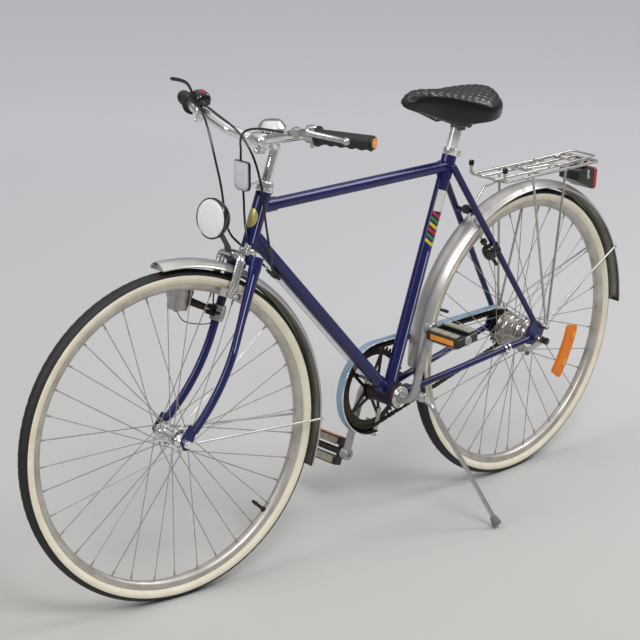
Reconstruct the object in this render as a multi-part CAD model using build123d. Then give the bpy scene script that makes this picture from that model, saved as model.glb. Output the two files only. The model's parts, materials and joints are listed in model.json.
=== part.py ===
from build123d import *
import os
from math import asin, atan2, cos, degrees, floor, hypot, pi, radians, sin, sqrt, tan

os.makedirs("parts", exist_ok=True)

# A gents' roadster bicycle with a hub gear, parked on its side stand.
# It is modelled upright and steered straight, with x forward, y to the left and z up from
# the middle of the rear hub. At the end it is turned, leaned and set on the floor.

# Whole bicycle
WHEELBASE = 1060
HEAD_ANGLE = 70.5
SEAT_ANGLE = 72
FORK_OFFSET = 60
TYRE_RADIUS = 345
TYRE_TO_BRACKET = 91
BRACKET_FORWARD = TYRE_RADIUS + TYRE_TO_BRACKET
BRACKET_DROP = 50
LEAN = 3.0
STEER = -9.23
CUT = 2

# Wheels
TYRE_HALF = 16.5
TYRE_SHOULDER = 13
TYRE_SHOULDER_DROP = 6.5
TYRE_CROWN = 5.5
TYRE_CROWN_DROP = 0.5
TYRE_WIDEST = TYRE_RADIUS - TYRE_HALF
TYRE_DEPTH = 28
RIM_EDGE = TYRE_RADIUS - TYRE_DEPTH
RIM_HALF = 12.5
RIM_WELL_DROP = 6.2
RIM_WELL = RIM_EDGE - RIM_WELL_DROP
RIM_WELL_HALF = 10.9
RIM_DEPTH = 15.5
RIM_BACK = RIM_EDGE - RIM_DEPTH
RIM_BACK_HALF = 8
BEAD_GAP = 0.3
SPOKES = 36
SPOKE_RADIUS = 1.2
SPOKE_CROSS = 3
SPOKE_END_OFFSET = 3

# Hubs and axles, measured across the bicycle from its middle plane
RUNNING_GAP = 0.05
FRONT_AXLE = 4.5
FRONT_BARREL = 14
FRONT_FLANGE = 24
FRONT_FLANGE_Y = 31
FLANGE_THICK = 3
FRONT_HUB_HALF = 43
FRONT_CONE = 8
FRONT_DROPOUT_Y = 50
REAR_AXLE = 4.9
REAR_SHELL = 36
REAR_FLANGE = 42
REAR_FLANGE_LEFT = 30
REAR_FLANGE_RIGHT = 28
REAR_HUB_LEFT = 38
REAR_HUB_RIGHT = 38
REAR_NECK = 27
REAR_DROPOUT_Y = 60
DROPOUT_THICK = 5
NUT_RADIUS = 8.5
NUT_THICK = 8
AXLE_PROUD = 4
SPOKE_HOLE_MARGIN = 4

# Drive
CHAIN_PITCH = 12.7
RING_TEETH = 46
SPROCKET_TEETH = 20
CHAINLINE = 46
CHAIN_WIDTH = 7
CHAIN_PLATE = 8.6
CHAIN_WAIST = 6
CHAIN_SLOT = 4
TOOTH_THICK = 2.6
TOOTH_TIP = 2.6
TOOTH_ROOT = 4.2
TOOTH_GAP = 0.7
RING_RIM = 13
RING_BOSS = 29
RING_ARMS = 5
RING_ARM_WIDTH = 7
SPROCKET_BOSS = 19
CRANK_LENGTH = 171
CRANK_ANGLE = 98
CRANK_RADIUS = 9
CRANK_BEND = 26
CRANK_ROOT_Y = 74
CRANK_EYE_Y = 97
CRANK_EYE = 14
CRANK_EYE_THICK = 19

# Frame tubes
TUBE_LARGE = 14.3
TUBE_SMALL = 12.7
HEAD_TUBE = 16
HEAD_TUBE_BORE = 14
TYRE_TO_HEAD = 16
HEAD_LENGTH = 111
TOP_TUBE_DROP = 29
DOWN_TUBE_RISE = 27
SEAT_TUBE_PROUD = 23
HEAD_BOTTOM = TYRE_RADIUS + TYRE_TO_HEAD
HEAD_TOP = HEAD_BOTTOM + HEAD_LENGTH
TOP_TUBE_HEIGHT = HEAD_TOP - TOP_TUBE_DROP
DOWN_TUBE_HEIGHT = HEAD_BOTTOM + DOWN_TUBE_RISE
SEAT_TUBE_TOP = TOP_TUBE_HEIGHT + SEAT_TUBE_PROUD
LUG_WALL = 2
LUG_REACH = 26
SHELL_RADIUS = 20
SHELL_HALF = 34
SHELL_BORE = 17
CUP_RADIUS = 22
CUP_LIP = 7
STAY_THICK = 8
STAY_THIN = 6.5
CHAIN_STAY_THICK = 8.2
CHAIN_STAY_THIN = 7
CHAIN_STAY_ROOT_Y = 22
SEAT_STAY_ROOT_Y = 20
DROPOUT_HUB = 17
DROPOUT_REACH = 34
DROPOUT_RISE = 46
DROPOUT_HEEL = 15.4
DROPOUT_TOP_FRONT = 20.4
DROPOUT_TOP_BACK = 6.8
CHAIN_STAY_END_UP = 4.2
SEAT_STAY_AHEAD = 13.6
EYELET_BACK = 21
EYELET_UP = 25
EYELET_RADIUS = 7
BRIDGE_RADIUS = 6


def at(x, y, z):
    return Vector(x, y, z)


# Where the main lines of the bicycle meet
REAR_HUB = at(0, 0, 0)
FRONT_HUB = at(WHEELBASE, 0, 0)
BRACKET = at(BRACKET_FORWARD, 0, -BRACKET_DROP)
STEER_DIR = at(-cos(radians(HEAD_ANGLE)), 0, sin(radians(HEAD_ANGLE)))
STEER_FRONT = at(sin(radians(HEAD_ANGLE)), 0, cos(radians(HEAD_ANGLE)))
STEER_FOOT = FRONT_HUB - STEER_FRONT * FORK_OFFSET
ACROSS = at(0, 1, 0)
FORWARD = at(1, 0, 0)
UP = at(0, 0, 1)


def on_steerer(height, ahead=0.0):
    """Point of the steering axis at a height over the hubs, and some way ahead of the axis."""
    along = (height - STEER_FOOT.Z) / STEER_DIR.Z
    return STEER_FOOT + STEER_DIR * along + STEER_FRONT * ahead


def over_head(ahead, across, above):
    """Point ahead of the middle of the head tube's top, and above it."""
    return at(on_steerer(HEAD_TOP).X + ahead, across, HEAD_TOP + above)


def steered(shape):
    return shape.rotate(Axis(STEER_FOOT, STEER_DIR), STEER)


def steered_point(point):
    return STEER_FOOT + (point - STEER_FOOT).rotate(Axis((0, 0, 0), STEER_DIR), STEER)


def on_seat_tube(height):
    rise = height - BRACKET.Z
    return BRACKET + at(-rise / tan(radians(SEAT_ANGLE)), 0, rise)


def mirrored(point):
    return at(point.X, -point.Y, point.Z)


# Ways of making solids
def rod(start, end, radius, end_radius=None):
    """Round bar from one point to another, tapered where a second radius is given."""
    along = end - start
    plane = Plane(origin=start, z_dir=along)
    if end_radius is None:
        return Solid.make_cylinder(radius, along.length, plane)
    return Solid.make_cone(radius, end_radius, along.length, plane)


def bar(start, end, radius, sides=6):
    """Straight bar with a flat-sided section."""
    along = end - start
    return extrude(Plane(origin=start, z_dir=along) * RegularPolygon(radius, sides), amount=along.length)


def bent(points, radius, bend, sides=0):
    """Bar swept along straight runs joined by arcs, round where no number of sides is given."""
    path = FilletPolyline(*points, radius=bend)
    plane = Plane(origin=path @ 0, z_dir=path % 0)
    section = Circle(radius) if sides == 0 else RegularPolygon(radius, sides)
    return sweep(plane * section, path=path)


def lathe(profile, plane, arc=360):
    """Solid turned about a plane's z axis, from pairs of radius and height."""
    outline = Polyline(*[(radius, 0, height) for radius, height in profile], close=True)
    return plane.location * revolve(make_face(outline), axis=Axis.Z, revolution_arc=arc)


def wheel_plane(centre, angle=0.0):
    """Plane whose z axis runs across the bicycle and whose x axis rises by an angle from forward."""
    return Plane(origin=centre, x_dir=(cos(radians(angle)), 0, sin(radians(angle))), z_dir=(0, 1, 0))


def washer(centre, outer, inner, low, high):
    """Flat ring about a line across the bicycle, from one distance across to another."""
    return lathe([(inner, low), (outer, low), (outer, high), (inner, high)], wheel_plane(centre))


def button(centre, radius, low, high):
    return Solid.make_cylinder(radius, high - low, Plane(origin=centre + ACROSS * low, z_dir=(0, 1, 0)))


def nut(centre, low, high, radius=NUT_RADIUS, bore=REAR_AXLE):
    plane = Plane(origin=centre + ACROSS * low, z_dir=(0, 1, 0))
    blank = extrude(plane * RegularPolygon(radius, 6), amount=high - low)
    return blank - button(centre, bore, low - CUT, high + CUT)


def plate(outline, middle, thickness):
    """Flat plate lying in a plane along the bicycle, from a list of forward and up pairs."""
    plane = Plane(origin=(0, middle, 0), x_dir=(1, 0, 0), z_dir=(0, -1, 0))
    face = plane * make_face(Polyline(*outline, close=True))
    return extrude(face, amount=thickness / 2, both=True)


def block(centre, length, width, height):
    return Pos(*centre) * Box(length, width, height)


pieces = {}


# Wheels
TYRE_SECTION = [
    (RIM_WELL + BEAD_GAP, RIM_WELL_HALF - 2 * BEAD_GAP),
    (RIM_EDGE + BEAD_GAP, RIM_WELL_HALF - BEAD_GAP),
    (TYRE_WIDEST, TYRE_HALF),
    (TYRE_RADIUS - TYRE_SHOULDER_DROP, TYRE_SHOULDER),
    (TYRE_RADIUS - TYRE_CROWN_DROP, TYRE_CROWN),
]


def tyre(centre):
    other = [(radius, -across) for radius, across in reversed(TYRE_SECTION)]
    return lathe(TYRE_SECTION + other, wheel_plane(centre))


def rim(centre):
    half = [(RIM_BACK, RIM_BACK_HALF), (RIM_EDGE, RIM_HALF)]
    other = [(radius, -across) for radius, across in reversed(half)]
    channel = washer(centre, RIM_EDGE + CUT, RIM_WELL, -RIM_WELL_HALF, RIM_WELL_HALF)
    return lathe(half + other, wheel_plane(centre)) - channel


def spokes(centre, hole_radius, flange_left, flange_right):
    """Crossed spokes from both flanges to the rim, in turn to each side."""
    group = []
    per_side = SPOKES // 2
    end_radius = RIM_BACK - BEAD_GAP
    for index in range(SPOKES):
        left = index % 2 == 0
        flange = flange_left if left else -flange_right
        lead = 1 if (index // 2) % 2 == 0 else -1
        rim_angle = 2 * pi * index / SPOKES
        hub_angle = rim_angle + lead * SPOKE_CROSS * 2 * pi / per_side
        end_y = SPOKE_END_OFFSET if left else -SPOKE_END_OFFSET
        start = centre + at(hole_radius * cos(hub_angle), flange, hole_radius * sin(hub_angle))
        end = centre + at(end_radius * cos(rim_angle), end_y, end_radius * sin(rim_angle))
        group.append(bar(start, end, SPOKE_RADIUS, 4))
    return group


def front_hub():
    inner = FRONT_AXLE + RUNNING_GAP
    low = FRONT_FLANGE_Y - FLANGE_THICK / 2
    high = FRONT_FLANGE_Y + FLANGE_THICK / 2
    half = [
        (inner, FRONT_HUB_HALF),
        (FRONT_CONE, FRONT_HUB_HALF),
        (FRONT_BARREL, high),
        (FRONT_FLANGE, high),
        (FRONT_FLANGE, low),
        (FRONT_BARREL, low),
    ]
    other = [(radius, -across) for radius, across in reversed(half)]
    hub = lathe(half + other, wheel_plane(FRONT_HUB))
    hole = FRONT_FLANGE - SPOKE_HOLE_MARGIN
    return hub.fuse(*spokes(FRONT_HUB, hole, FRONT_FLANGE_Y, FRONT_FLANGE_Y))


def rear_hub():
    inner = REAR_AXLE + RUNNING_GAP
    profile = [
        (inner, REAR_HUB_LEFT),
        (REAR_NECK, REAR_HUB_LEFT),
        (REAR_SHELL, REAR_FLANGE_LEFT + FLANGE_THICK / 2),
        (REAR_FLANGE, REAR_FLANGE_LEFT + FLANGE_THICK / 2),
        (REAR_FLANGE, REAR_FLANGE_LEFT - FLANGE_THICK / 2),
        (REAR_SHELL, REAR_FLANGE_LEFT - FLANGE_THICK / 2),
        (REAR_SHELL, -REAR_FLANGE_RIGHT + FLANGE_THICK / 2),
        (REAR_FLANGE, -REAR_FLANGE_RIGHT + FLANGE_THICK / 2),
        (REAR_FLANGE, -REAR_FLANGE_RIGHT - FLANGE_THICK / 2),
        (REAR_SHELL, -REAR_FLANGE_RIGHT - FLANGE_THICK / 2),
        (REAR_NECK, -REAR_HUB_RIGHT),
        (inner, -REAR_HUB_RIGHT),
    ]
    hub = lathe(profile, wheel_plane(REAR_HUB))
    hole = REAR_FLANGE - SPOKE_HOLE_MARGIN
    return hub.fuse(*spokes(REAR_HUB, hole, REAR_FLANGE_LEFT, REAR_FLANGE_RIGHT))


REFLECTOR_ANGLE = 25
REFLECTOR_SPAN = 40
REFLECTOR_INNER = 172
REFLECTOR_OUTER = 204
REFLECTOR_THICK = 5
REFLECTOR_Y = 16.6


def spoke_reflector():
    """Curved plate clipped between the left spokes of the rear wheel."""
    middle = 180 + REFLECTOR_ANGLE
    face = REFLECTOR_Y
    profile = [
        (REFLECTOR_INNER, face),
        (REFLECTOR_OUTER, face),
        (REFLECTOR_OUTER, face + REFLECTOR_THICK),
        (REFLECTOR_INNER, face + REFLECTOR_THICK),
    ]
    high = middle + REFLECTOR_SPAN / 2
    return lathe(profile, wheel_plane(REAR_HUB, high), REFLECTOR_SPAN)


pieces["front_tyre"] = tyre(FRONT_HUB)
pieces["front_rim"] = rim(FRONT_HUB)
pieces["front_hub"] = front_hub()
pieces["rear_tyre"] = tyre(REAR_HUB)
pieces["rear_rim"] = rim(REAR_HUB)
pieces["rear_hub"] = rear_hub()
pieces["spoke_reflector"] = spoke_reflector()


# Axles
def front_axle():
    outside = FRONT_DROPOUT_Y + DROPOUT_THICK
    tip = outside + NUT_THICK + AXLE_PROUD
    axle = button(FRONT_HUB, FRONT_AXLE, -tip, tip)
    for side in (1, -1):
        low, high = sorted((side * outside, side * (outside + NUT_THICK)))
        axle += nut(FRONT_HUB, low, high, bore=FRONT_AXLE / 2)
        low, high = sorted((side * (FRONT_HUB_HALF + RUNNING_GAP), side * FRONT_DROPOUT_Y))
        axle += button(FRONT_HUB, FRONT_CONE, low, high)
    return axle


BRAKE_PLATE = 26
BRAKE_PLATE_THICK = 6
SPACER_RADIUS = 9
CAP_RADIUS = 9
CAP_LENGTH = 20
SPROCKET_DRIVER_HALF = 4


def rear_axle():
    outside = REAR_DROPOUT_Y + DROPOUT_THICK
    tip = outside + NUT_THICK + AXLE_PROUD
    axle = button(REAR_HUB, REAR_AXLE, -tip, tip)
    for side in (1, -1):
        low, high = sorted((side * outside, side * (outside + NUT_THICK)))
        axle += nut(REAR_HUB, low, high, bore=REAR_AXLE / 2)
    plate_low = REAR_HUB_LEFT + RUNNING_GAP
    axle += button(REAR_HUB, BRAKE_PLATE, plate_low, plate_low + BRAKE_PLATE_THICK)
    axle += button(REAR_HUB, SPACER_RADIUS, plate_low, REAR_DROPOUT_Y)
    driver_end = CHAINLINE + SPROCKET_DRIVER_HALF + RUNNING_GAP
    axle += button(REAR_HUB, SPACER_RADIUS, -REAR_DROPOUT_Y, -driver_end)
    return axle


pieces["front_axle"] = front_axle()
pieces["rear_axle"] = rear_axle()


# Chainring, sprocket and chain
def pitch_radius(teeth):
    return CHAIN_PITCH / 2 / sin(pi / teeth)


RING_PITCH = pitch_radius(RING_TEETH)
SPROCKET_PITCH = pitch_radius(SPROCKET_TEETH)

# Share of a tooth's step and whether the point lies at the tip
TOOTH_SHARES = [(-0.3, False), (-0.12, True), (0.12, True), (0.3, False)]


def toothed_disc(centre, teeth, turn=0.0):
    """Disc with straight-flanked teeth, in the plane of the chain."""
    pitch = pitch_radius(teeth)
    step = 2 * pi / teeth
    outline = []
    for tooth in range(teeth):
        middle = turn + tooth * step
        for share, radius in TOOTH_SHARES:
            angle = middle + share * step
            reach = pitch + (TOOTH_TIP if radius else -TOOTH_ROOT)
            outline.append((centre.X + reach * cos(angle), centre.Z + reach * sin(angle)))
    return plate(outline, -CHAINLINE, TOOTH_THICK)


def chainring():
    """Toothed rim on a zigzag of thin arms round a boss."""
    rim_inner = RING_PITCH - TOOTH_ROOT - RING_RIM
    low = -CHAINLINE - TOOTH_THICK / 2
    high = -CHAINLINE + TOOTH_THICK / 2
    ring = toothed_disc(BRACKET, RING_TEETH)
    ring -= button(BRACKET, rim_inner, low - CUT, high + CUT)
    ring += washer(BRACKET, RING_BOSS, CRANK_RADIUS, low, high)
    foot = (RING_BOSS + CRANK_RADIUS) / 2
    head = rim_inner + RING_RIM / 2
    step = 2 * pi / RING_ARMS
    for arm in range(RING_ARMS):
        for side in (1, -1):
            low_angle = arm * step
            high_angle = low_angle + side * step / 2
            start = at(foot * cos(low_angle), 0, foot * sin(low_angle))
            end = at(head * cos(high_angle), 0, head * sin(high_angle))
            along = (end - start).normalized()
            aside = at(-along.Z, 0, along.X) * (RING_ARM_WIDTH / 2)
            corners = [start + aside, end + aside, end - aside, start - aside]
            outline = [(BRACKET.X + corner.X, BRACKET.Z + corner.Z) for corner in corners]
            ring += plate(outline, -CHAINLINE, TOOTH_THICK)
    return ring


def sprocket():
    disc = toothed_disc(REAR_HUB, SPROCKET_TEETH)
    low = -CHAINLINE - SPROCKET_DRIVER_HALF
    high = -CHAINLINE + SPROCKET_DRIVER_HALF
    disc += button(REAR_HUB, SPROCKET_BOSS, low, high)
    return disc - button(REAR_HUB, REAR_AXLE + RUNNING_GAP, low - CUT, high + CUT)


def chain_outline(half_plate, half_waist):
    """Closed outline that bulges at each pin of the chain and narrows between."""
    distance = hypot(BRACKET.X, BRACKET.Z)
    tilt = atan2(BRACKET.Z, BRACKET.X)
    spread = asin((RING_PITCH - SPROCKET_PITCH) / distance)
    run = distance * cos(spread)
    top = pi / 2 + tilt + spread
    bottom = tilt - pi / 2 - spread
    stretches = []
    pins = floor(run / CHAIN_PITCH)
    along = run / pins
    start = at(SPROCKET_PITCH * cos(top), 0, SPROCKET_PITCH * sin(top))
    ahead = at(sin(top), 0, -cos(top))
    for pin in range(2 * pins):
        place = start + ahead * (along * pin / 2)
        stretches.append((place, top, pin % 2 == 0))
    ring_arc = top - bottom
    links = round(RING_PITCH * ring_arc / CHAIN_PITCH)
    for pin in range(2 * links):
        angle = top - ring_arc * pin / (2 * links)
        place = BRACKET + at(RING_PITCH * cos(angle), 0, RING_PITCH * sin(angle))
        stretches.append((place, angle, pin % 2 == 0))
    start = BRACKET + at(RING_PITCH * cos(bottom), 0, RING_PITCH * sin(bottom))
    ahead = at(sin(bottom), 0, -cos(bottom))
    for pin in range(2 * pins):
        place = start + ahead * (along * pin / 2)
        stretches.append((place, bottom, pin % 2 == 0))
    rest_arc = 2 * pi - ring_arc
    links = round(SPROCKET_PITCH * rest_arc / CHAIN_PITCH)
    for pin in range(2 * links):
        angle = bottom - rest_arc * pin / (2 * links)
        place = at(SPROCKET_PITCH * cos(angle), 0, SPROCKET_PITCH * sin(angle))
        stretches.append((place, angle, pin % 2 == 0))
    outer = []
    inner = []
    for place, angle, wide in stretches:
        half = half_plate if wide else half_waist
        out = at(cos(angle), 0, sin(angle)) * half
        outer.append(((place + out).X, (place + out).Z))
        inner.append(((place - out).X, (place - out).Z))
    return outer, inner


def chain():
    outer, inner = chain_outline(CHAIN_PLATE / 2, CHAIN_WAIST / 2)
    loop = plate(outer, -CHAINLINE, CHAIN_WIDTH) - plate(inner, -CHAINLINE, CHAIN_WIDTH + CUT)
    low = -CHAINLINE - CHAIN_SLOT / 2
    high = -CHAINLINE + CHAIN_SLOT / 2
    for centre, radius in ((BRACKET, RING_PITCH), (REAR_HUB, SPROCKET_PITCH)):
        reach = radius + TOOTH_TIP + TOOTH_GAP
        loop -= washer(centre, reach, radius - CHAIN_PLATE, low, high)
    return loop


pieces["chainring"] = chainring()
pieces["sprocket"] = sprocket()
pieces["chain"] = chain()


# Cranks and pedals
CRANK_DIR = at(cos(radians(CRANK_ANGLE)), 0, sin(radians(CRANK_ANGLE)))
PEDAL_LENGTH = 92
PEDAL_DEPTH = 66
PEDAL_THICK = 26
PEDAL_GAP = 6
PEDAL_AXLE = 5
PEDAL_TILTS = {1: 6, -1: 72}
PEDAL_ROUND = 8
TREAD_DEPTH = 15
TREAD_PROUD = 3
TREAD_MARGIN = 8
PEDAL_CAP = 10
PEDAL_CAP_PROUD = 3


def crank():
    """Bar bent into two arms on one spindle, with an eye for a pedal at each end."""
    ends = [BRACKET + CRANK_DIR * (side * CRANK_LENGTH) + ACROSS * (side * CRANK_EYE_Y) for side in (1, -1)]
    roots = [BRACKET + ACROSS * (side * CRANK_ROOT_Y) for side in (1, -1)]
    arms = bent([ends[0], roots[0], roots[1], ends[1]], CRANK_RADIUS, CRANK_BEND)
    for end in ends:
        arms += button(end, CRANK_EYE, -CRANK_EYE_THICK / 2, CRANK_EYE_THICK / 2)
    return arms


def pedal(side):
    """Block pedal on its own axle, screwed in the eye of the crank."""
    eye = BRACKET + CRANK_DIR * (side * CRANK_LENGTH) + ACROSS * (side * CRANK_EYE_Y)
    inner = CRANK_EYE_THICK / 2 + PEDAL_GAP
    middle = inner + PEDAL_LENGTH / 2
    body = Box(PEDAL_DEPTH, PEDAL_LENGTH, PEDAL_THICK)
    body = chamfer(body.edges().filter_by(Axis.Y), PEDAL_ROUND / 2)
    tread_length = PEDAL_LENGTH - 2 * TREAD_MARGIN
    for end in (1, -1):
        for face in (1, -1):
            x = end * (PEDAL_DEPTH - TREAD_DEPTH) / 2 - end * PEDAL_ROUND / 2
            z = face * (PEDAL_THICK + TREAD_PROUD) / 2
            body += Pos(x, 0, z) * Box(TREAD_DEPTH, tread_length, TREAD_PROUD)
    cap = side * (PEDAL_LENGTH / 2 + PEDAL_CAP_PROUD / 2)
    body += Pos(0, cap, 0) * Rot(X=90) * Cylinder(PEDAL_CAP, PEDAL_CAP_PROUD)
    stub = side * (PEDAL_LENGTH / 2 + PEDAL_GAP / 2)
    body += Pos(0, -stub, 0) * Rot(X=90) * Cylinder(PEDAL_AXLE, PEDAL_GAP - 2 * RUNNING_GAP)
    return Pos(*(eye + ACROSS * (side * middle))) * Rot(Y=PEDAL_TILTS[side]) * body


pieces["crank"] = crank()
pieces["chainring"] -= pieces["crank"]
pieces["pedal_left"] = pedal(1)
pieces["pedal_right"] = pedal(-1)


# Frame
TOP_TUBE_FRONT = on_steerer(TOP_TUBE_HEIGHT)
TOP_TUBE_REAR = on_seat_tube(TOP_TUBE_HEIGHT)
DOWN_TUBE_FRONT = on_steerer(DOWN_TUBE_HEIGHT)
SEAT_TUBE_END = on_seat_tube(SEAT_TUBE_TOP)
POST_GAP = 0.05
SEAT_TUBE_BORE = TUBE_SMALL + POST_GAP
SEAT_BORE_DEPTH = 90

head_solid = rod(on_steerer(HEAD_BOTTOM), on_steerer(HEAD_TOP), HEAD_TUBE)
shell_solid = button(BRACKET, SHELL_RADIUS, -SHELL_HALF, SHELL_HALF)


def seat_tube():
    along = (SEAT_TUBE_END - BRACKET).normalized()
    tube = rod(BRACKET, SEAT_TUBE_END, TUBE_LARGE)
    tube += rod(SEAT_TUBE_END - along * 2 * LUG_REACH, SEAT_TUBE_END, TUBE_LARGE + LUG_WALL)
    bore = rod(SEAT_TUBE_END - along * SEAT_BORE_DEPTH, SEAT_TUBE_END + along * CUT, SEAT_TUBE_BORE)
    return tube - shell_solid - bore


LUG_SHARE = 0.1
seat_solid = rod(BRACKET, SEAT_TUBE_END + (SEAT_TUBE_END - BRACKET) * LUG_SHARE, TUBE_LARGE + LUG_WALL)


def head_tube_with_lugs():
    top_socket = TOP_TUBE_FRONT + (TOP_TUBE_REAR - TOP_TUBE_FRONT).normalized() * (HEAD_TUBE + LUG_REACH)
    down_socket = DOWN_TUBE_FRONT + (BRACKET - DOWN_TUBE_FRONT).normalized() * (HEAD_TUBE + LUG_REACH)
    body = rod(on_steerer(HEAD_BOTTOM), on_steerer(HEAD_TOP), HEAD_TUBE)
    body += rod(TOP_TUBE_FRONT, top_socket, TUBE_SMALL + LUG_WALL)
    body += rod(DOWN_TUBE_FRONT, down_socket, TUBE_LARGE + LUG_WALL)
    body -= rod(TOP_TUBE_FRONT, TOP_TUBE_REAR, TUBE_SMALL)
    body -= rod(DOWN_TUBE_FRONT, BRACKET, TUBE_LARGE)
    body += rod(on_steerer(HEAD_BOTTOM), on_steerer(HEAD_TOP), HEAD_TUBE)
    low = on_steerer(HEAD_BOTTOM) - STEER_DIR * CUT
    high = on_steerer(HEAD_TOP) + STEER_DIR * CUT
    return body - rod(low, high, HEAD_TUBE_BORE)


def bracket_shell():
    body = shell_solid
    socket = BRACKET + (DOWN_TUBE_FRONT - BRACKET).normalized() * (SHELL_RADIUS + LUG_REACH)
    body = body + rod(BRACKET, socket, TUBE_LARGE + LUG_WALL)
    body -= rod(BRACKET, DOWN_TUBE_FRONT, TUBE_LARGE)
    body += button(BRACKET, SHELL_RADIUS, -SHELL_HALF, SHELL_HALF)
    body -= rod(BRACKET, SEAT_TUBE_END, TUBE_LARGE) - shell_solid
    return body - button(BRACKET, SHELL_BORE, -SHELL_HALF - CUT, SHELL_HALF + CUT)


def bracket_cups():
    """Screwed cups that close the bracket shell and carry the spindle."""
    inner = CRANK_RADIUS + RUNNING_GAP
    cups = []
    for side in (1, -1):
        profile = [
            (inner, side * (SHELL_HALF - CUP_LIP)),
            (SHELL_BORE, side * (SHELL_HALF - CUP_LIP)),
            (SHELL_BORE, side * SHELL_HALF),
            (CUP_RADIUS, side * SHELL_HALF),
            (CUP_RADIUS, side * (SHELL_HALF + CUP_LIP / 2)),
            (CUP_RADIUS - CUP_LIP / 2, side * (SHELL_HALF + CUP_LIP)),
            (inner, side * (SHELL_HALF + CUP_LIP)),
        ]
        cups.append(lathe(profile, wheel_plane(BRACKET)))
    return Compound(cups)


def dropout(side):
    """Flat end that takes the axle, with an eye for the rack and the mudguard stay."""
    outline = [
        (-DROPOUT_HUB, 0),
        (0, -DROPOUT_HUB),
        (DROPOUT_REACH, -CHAIN_STAY_THIN),
        (DROPOUT_REACH, DROPOUT_HEEL),
        (DROPOUT_TOP_FRONT, DROPOUT_RISE),
        (DROPOUT_TOP_BACK, DROPOUT_RISE),
        (-EYELET_BACK, EYELET_UP + EYELET_RADIUS),
        (-EYELET_BACK - EYELET_RADIUS, EYELET_UP),
    ]
    middle = side * (REAR_DROPOUT_Y + DROPOUT_THICK / 2)
    return plate(outline, middle, DROPOUT_THICK)


CHAIN_STAY_END = at(DROPOUT_REACH - CHAIN_STAY_THIN, 0, CHAIN_STAY_END_UP)
SEAT_STAY_END = at(SEAT_STAY_AHEAD, 0, DROPOUT_RISE)


def chain_stay(side):
    middle = side * (REAR_DROPOUT_Y + DROPOUT_THICK / 2)
    root = BRACKET + ACROSS * (side * CHAIN_STAY_ROOT_Y)
    end = CHAIN_STAY_END + ACROSS * middle
    tube = rod(root, end, CHAIN_STAY_THICK, CHAIN_STAY_THIN) - shell_solid
    whole = tube + dropout(side)
    low, high = sorted((side * (REAR_DROPOUT_Y - CUT), side * (REAR_DROPOUT_Y + DROPOUT_THICK + CUT)))
    return whole - button(REAR_HUB, REAR_AXLE, low, high)


def seat_stay(side):
    middle = side * (REAR_DROPOUT_Y + DROPOUT_THICK / 2)
    root = on_seat_tube(TOP_TUBE_HEIGHT) + ACROSS * (side * SEAT_STAY_ROOT_Y)
    end = SEAT_STAY_END + ACROSS * middle
    tube = rod(root, end, STAY_THICK, STAY_THIN)
    tube += Pos(*root) * Sphere(STAY_THICK)
    return tube


pieces["seat_tube"] = seat_tube()
pieces["head_tube"] = head_tube_with_lugs()
pieces["top_tube"] = rod(TOP_TUBE_FRONT, TOP_TUBE_REAR, TUBE_SMALL) - head_solid - seat_solid
pieces["down_tube"] = rod(DOWN_TUBE_FRONT, BRACKET, TUBE_LARGE) - head_solid - shell_solid
pieces["down_tube"] -= pieces["seat_tube"]
pieces["bracket_shell"] = bracket_shell() - pieces["seat_tube"]
pieces["bracket_cups"] = bracket_cups()
for side, name in ((1, "left"), (-1, "right")):
    pieces["chain_stay_" + name] = chain_stay(side) - pieces["seat_tube"]
    pieces["seat_stay_" + name] = seat_stay(side) - seat_solid - pieces["chain_stay_" + name]
pieces["bracket_shell"] -= pieces["chain_stay_left"]
pieces["bracket_shell"] -= pieces["chain_stay_right"]


# Headset and fork
HEADSET_RADIUS = 19
LOWER_CUP = 11
UPPER_CUP = 9
HEAD_NUT = 17
HEAD_NUT_THICK = 9
STEERER = 12.7
QUILL = 11.1
STEERER_BORE = 11.15
CROWN_DEPTH = 27
CROWN_THICK = 20
BLADE_Y = 39
BLADE_ROOT = 12.3
BLADE_THIN = 8.5
BLADE_STRAIGHT = 0.3
BLADE_CORNER = 0.65
BLADE_BEND_SHARE = 0.79
FORK_END_REACH = 28
FORK_END_WIDTH = 13
FORK_END_BACK = 18.2
FRONT_STAY_FOOT = 20.8
GUARD_BOLT = 5
QUILL_DEPTH = 60
GUARD_GAP = 21.5
GUARD_RADIUS = TYRE_RADIUS + GUARD_GAP
GUARD_HALF = 25
GUARD_EDGE_DROP = 13
GUARD_HIP = 15
GUARD_HIP_DROP = 3
GUARD_SHEET = 1.2
FRONT_GUARD_START = 86
FRONT_GUARD_END = 201
REAR_GUARD_START = -1
REAR_GUARD_END = 178
REAR_GUARD_HALF = 27
REAR_GUARD_GAP = 22
REAR_GUARD_RADIUS = TYRE_RADIUS + REAR_GUARD_GAP
REAR_GUARD_BACK = 10
REAR_GUARD_LOW = 4
STAY_WIRE = 2.4
STAY_GAP = 0.25
STAY_EYE = 8
FRONT_STAY_ANGLE = 184
REAR_STAY_ANGLE = 153


def steerer_plane(point):
    return Plane(origin=point, x_dir=STEER_FRONT, z_dir=STEER_DIR)


def headset_cups():
    """Bearing cups pressed in both ends of the head tube."""
    inner = STEERER + RUNNING_GAP
    low = [(inner, -LOWER_CUP), (HEADSET_RADIUS, -LOWER_CUP), (HEADSET_RADIUS, -CUT), (HEAD_TUBE, 0), (inner, 0)]
    high = [(inner, 0), (HEAD_TUBE, 0), (HEADSET_RADIUS, CUT), (HEADSET_RADIUS, UPPER_CUP), (inner, UPPER_CUP)]
    lower = lathe(low, steerer_plane(on_steerer(HEAD_BOTTOM)))
    upper = lathe(high, steerer_plane(on_steerer(HEAD_TOP)))
    return Compound([lower, upper])


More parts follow.
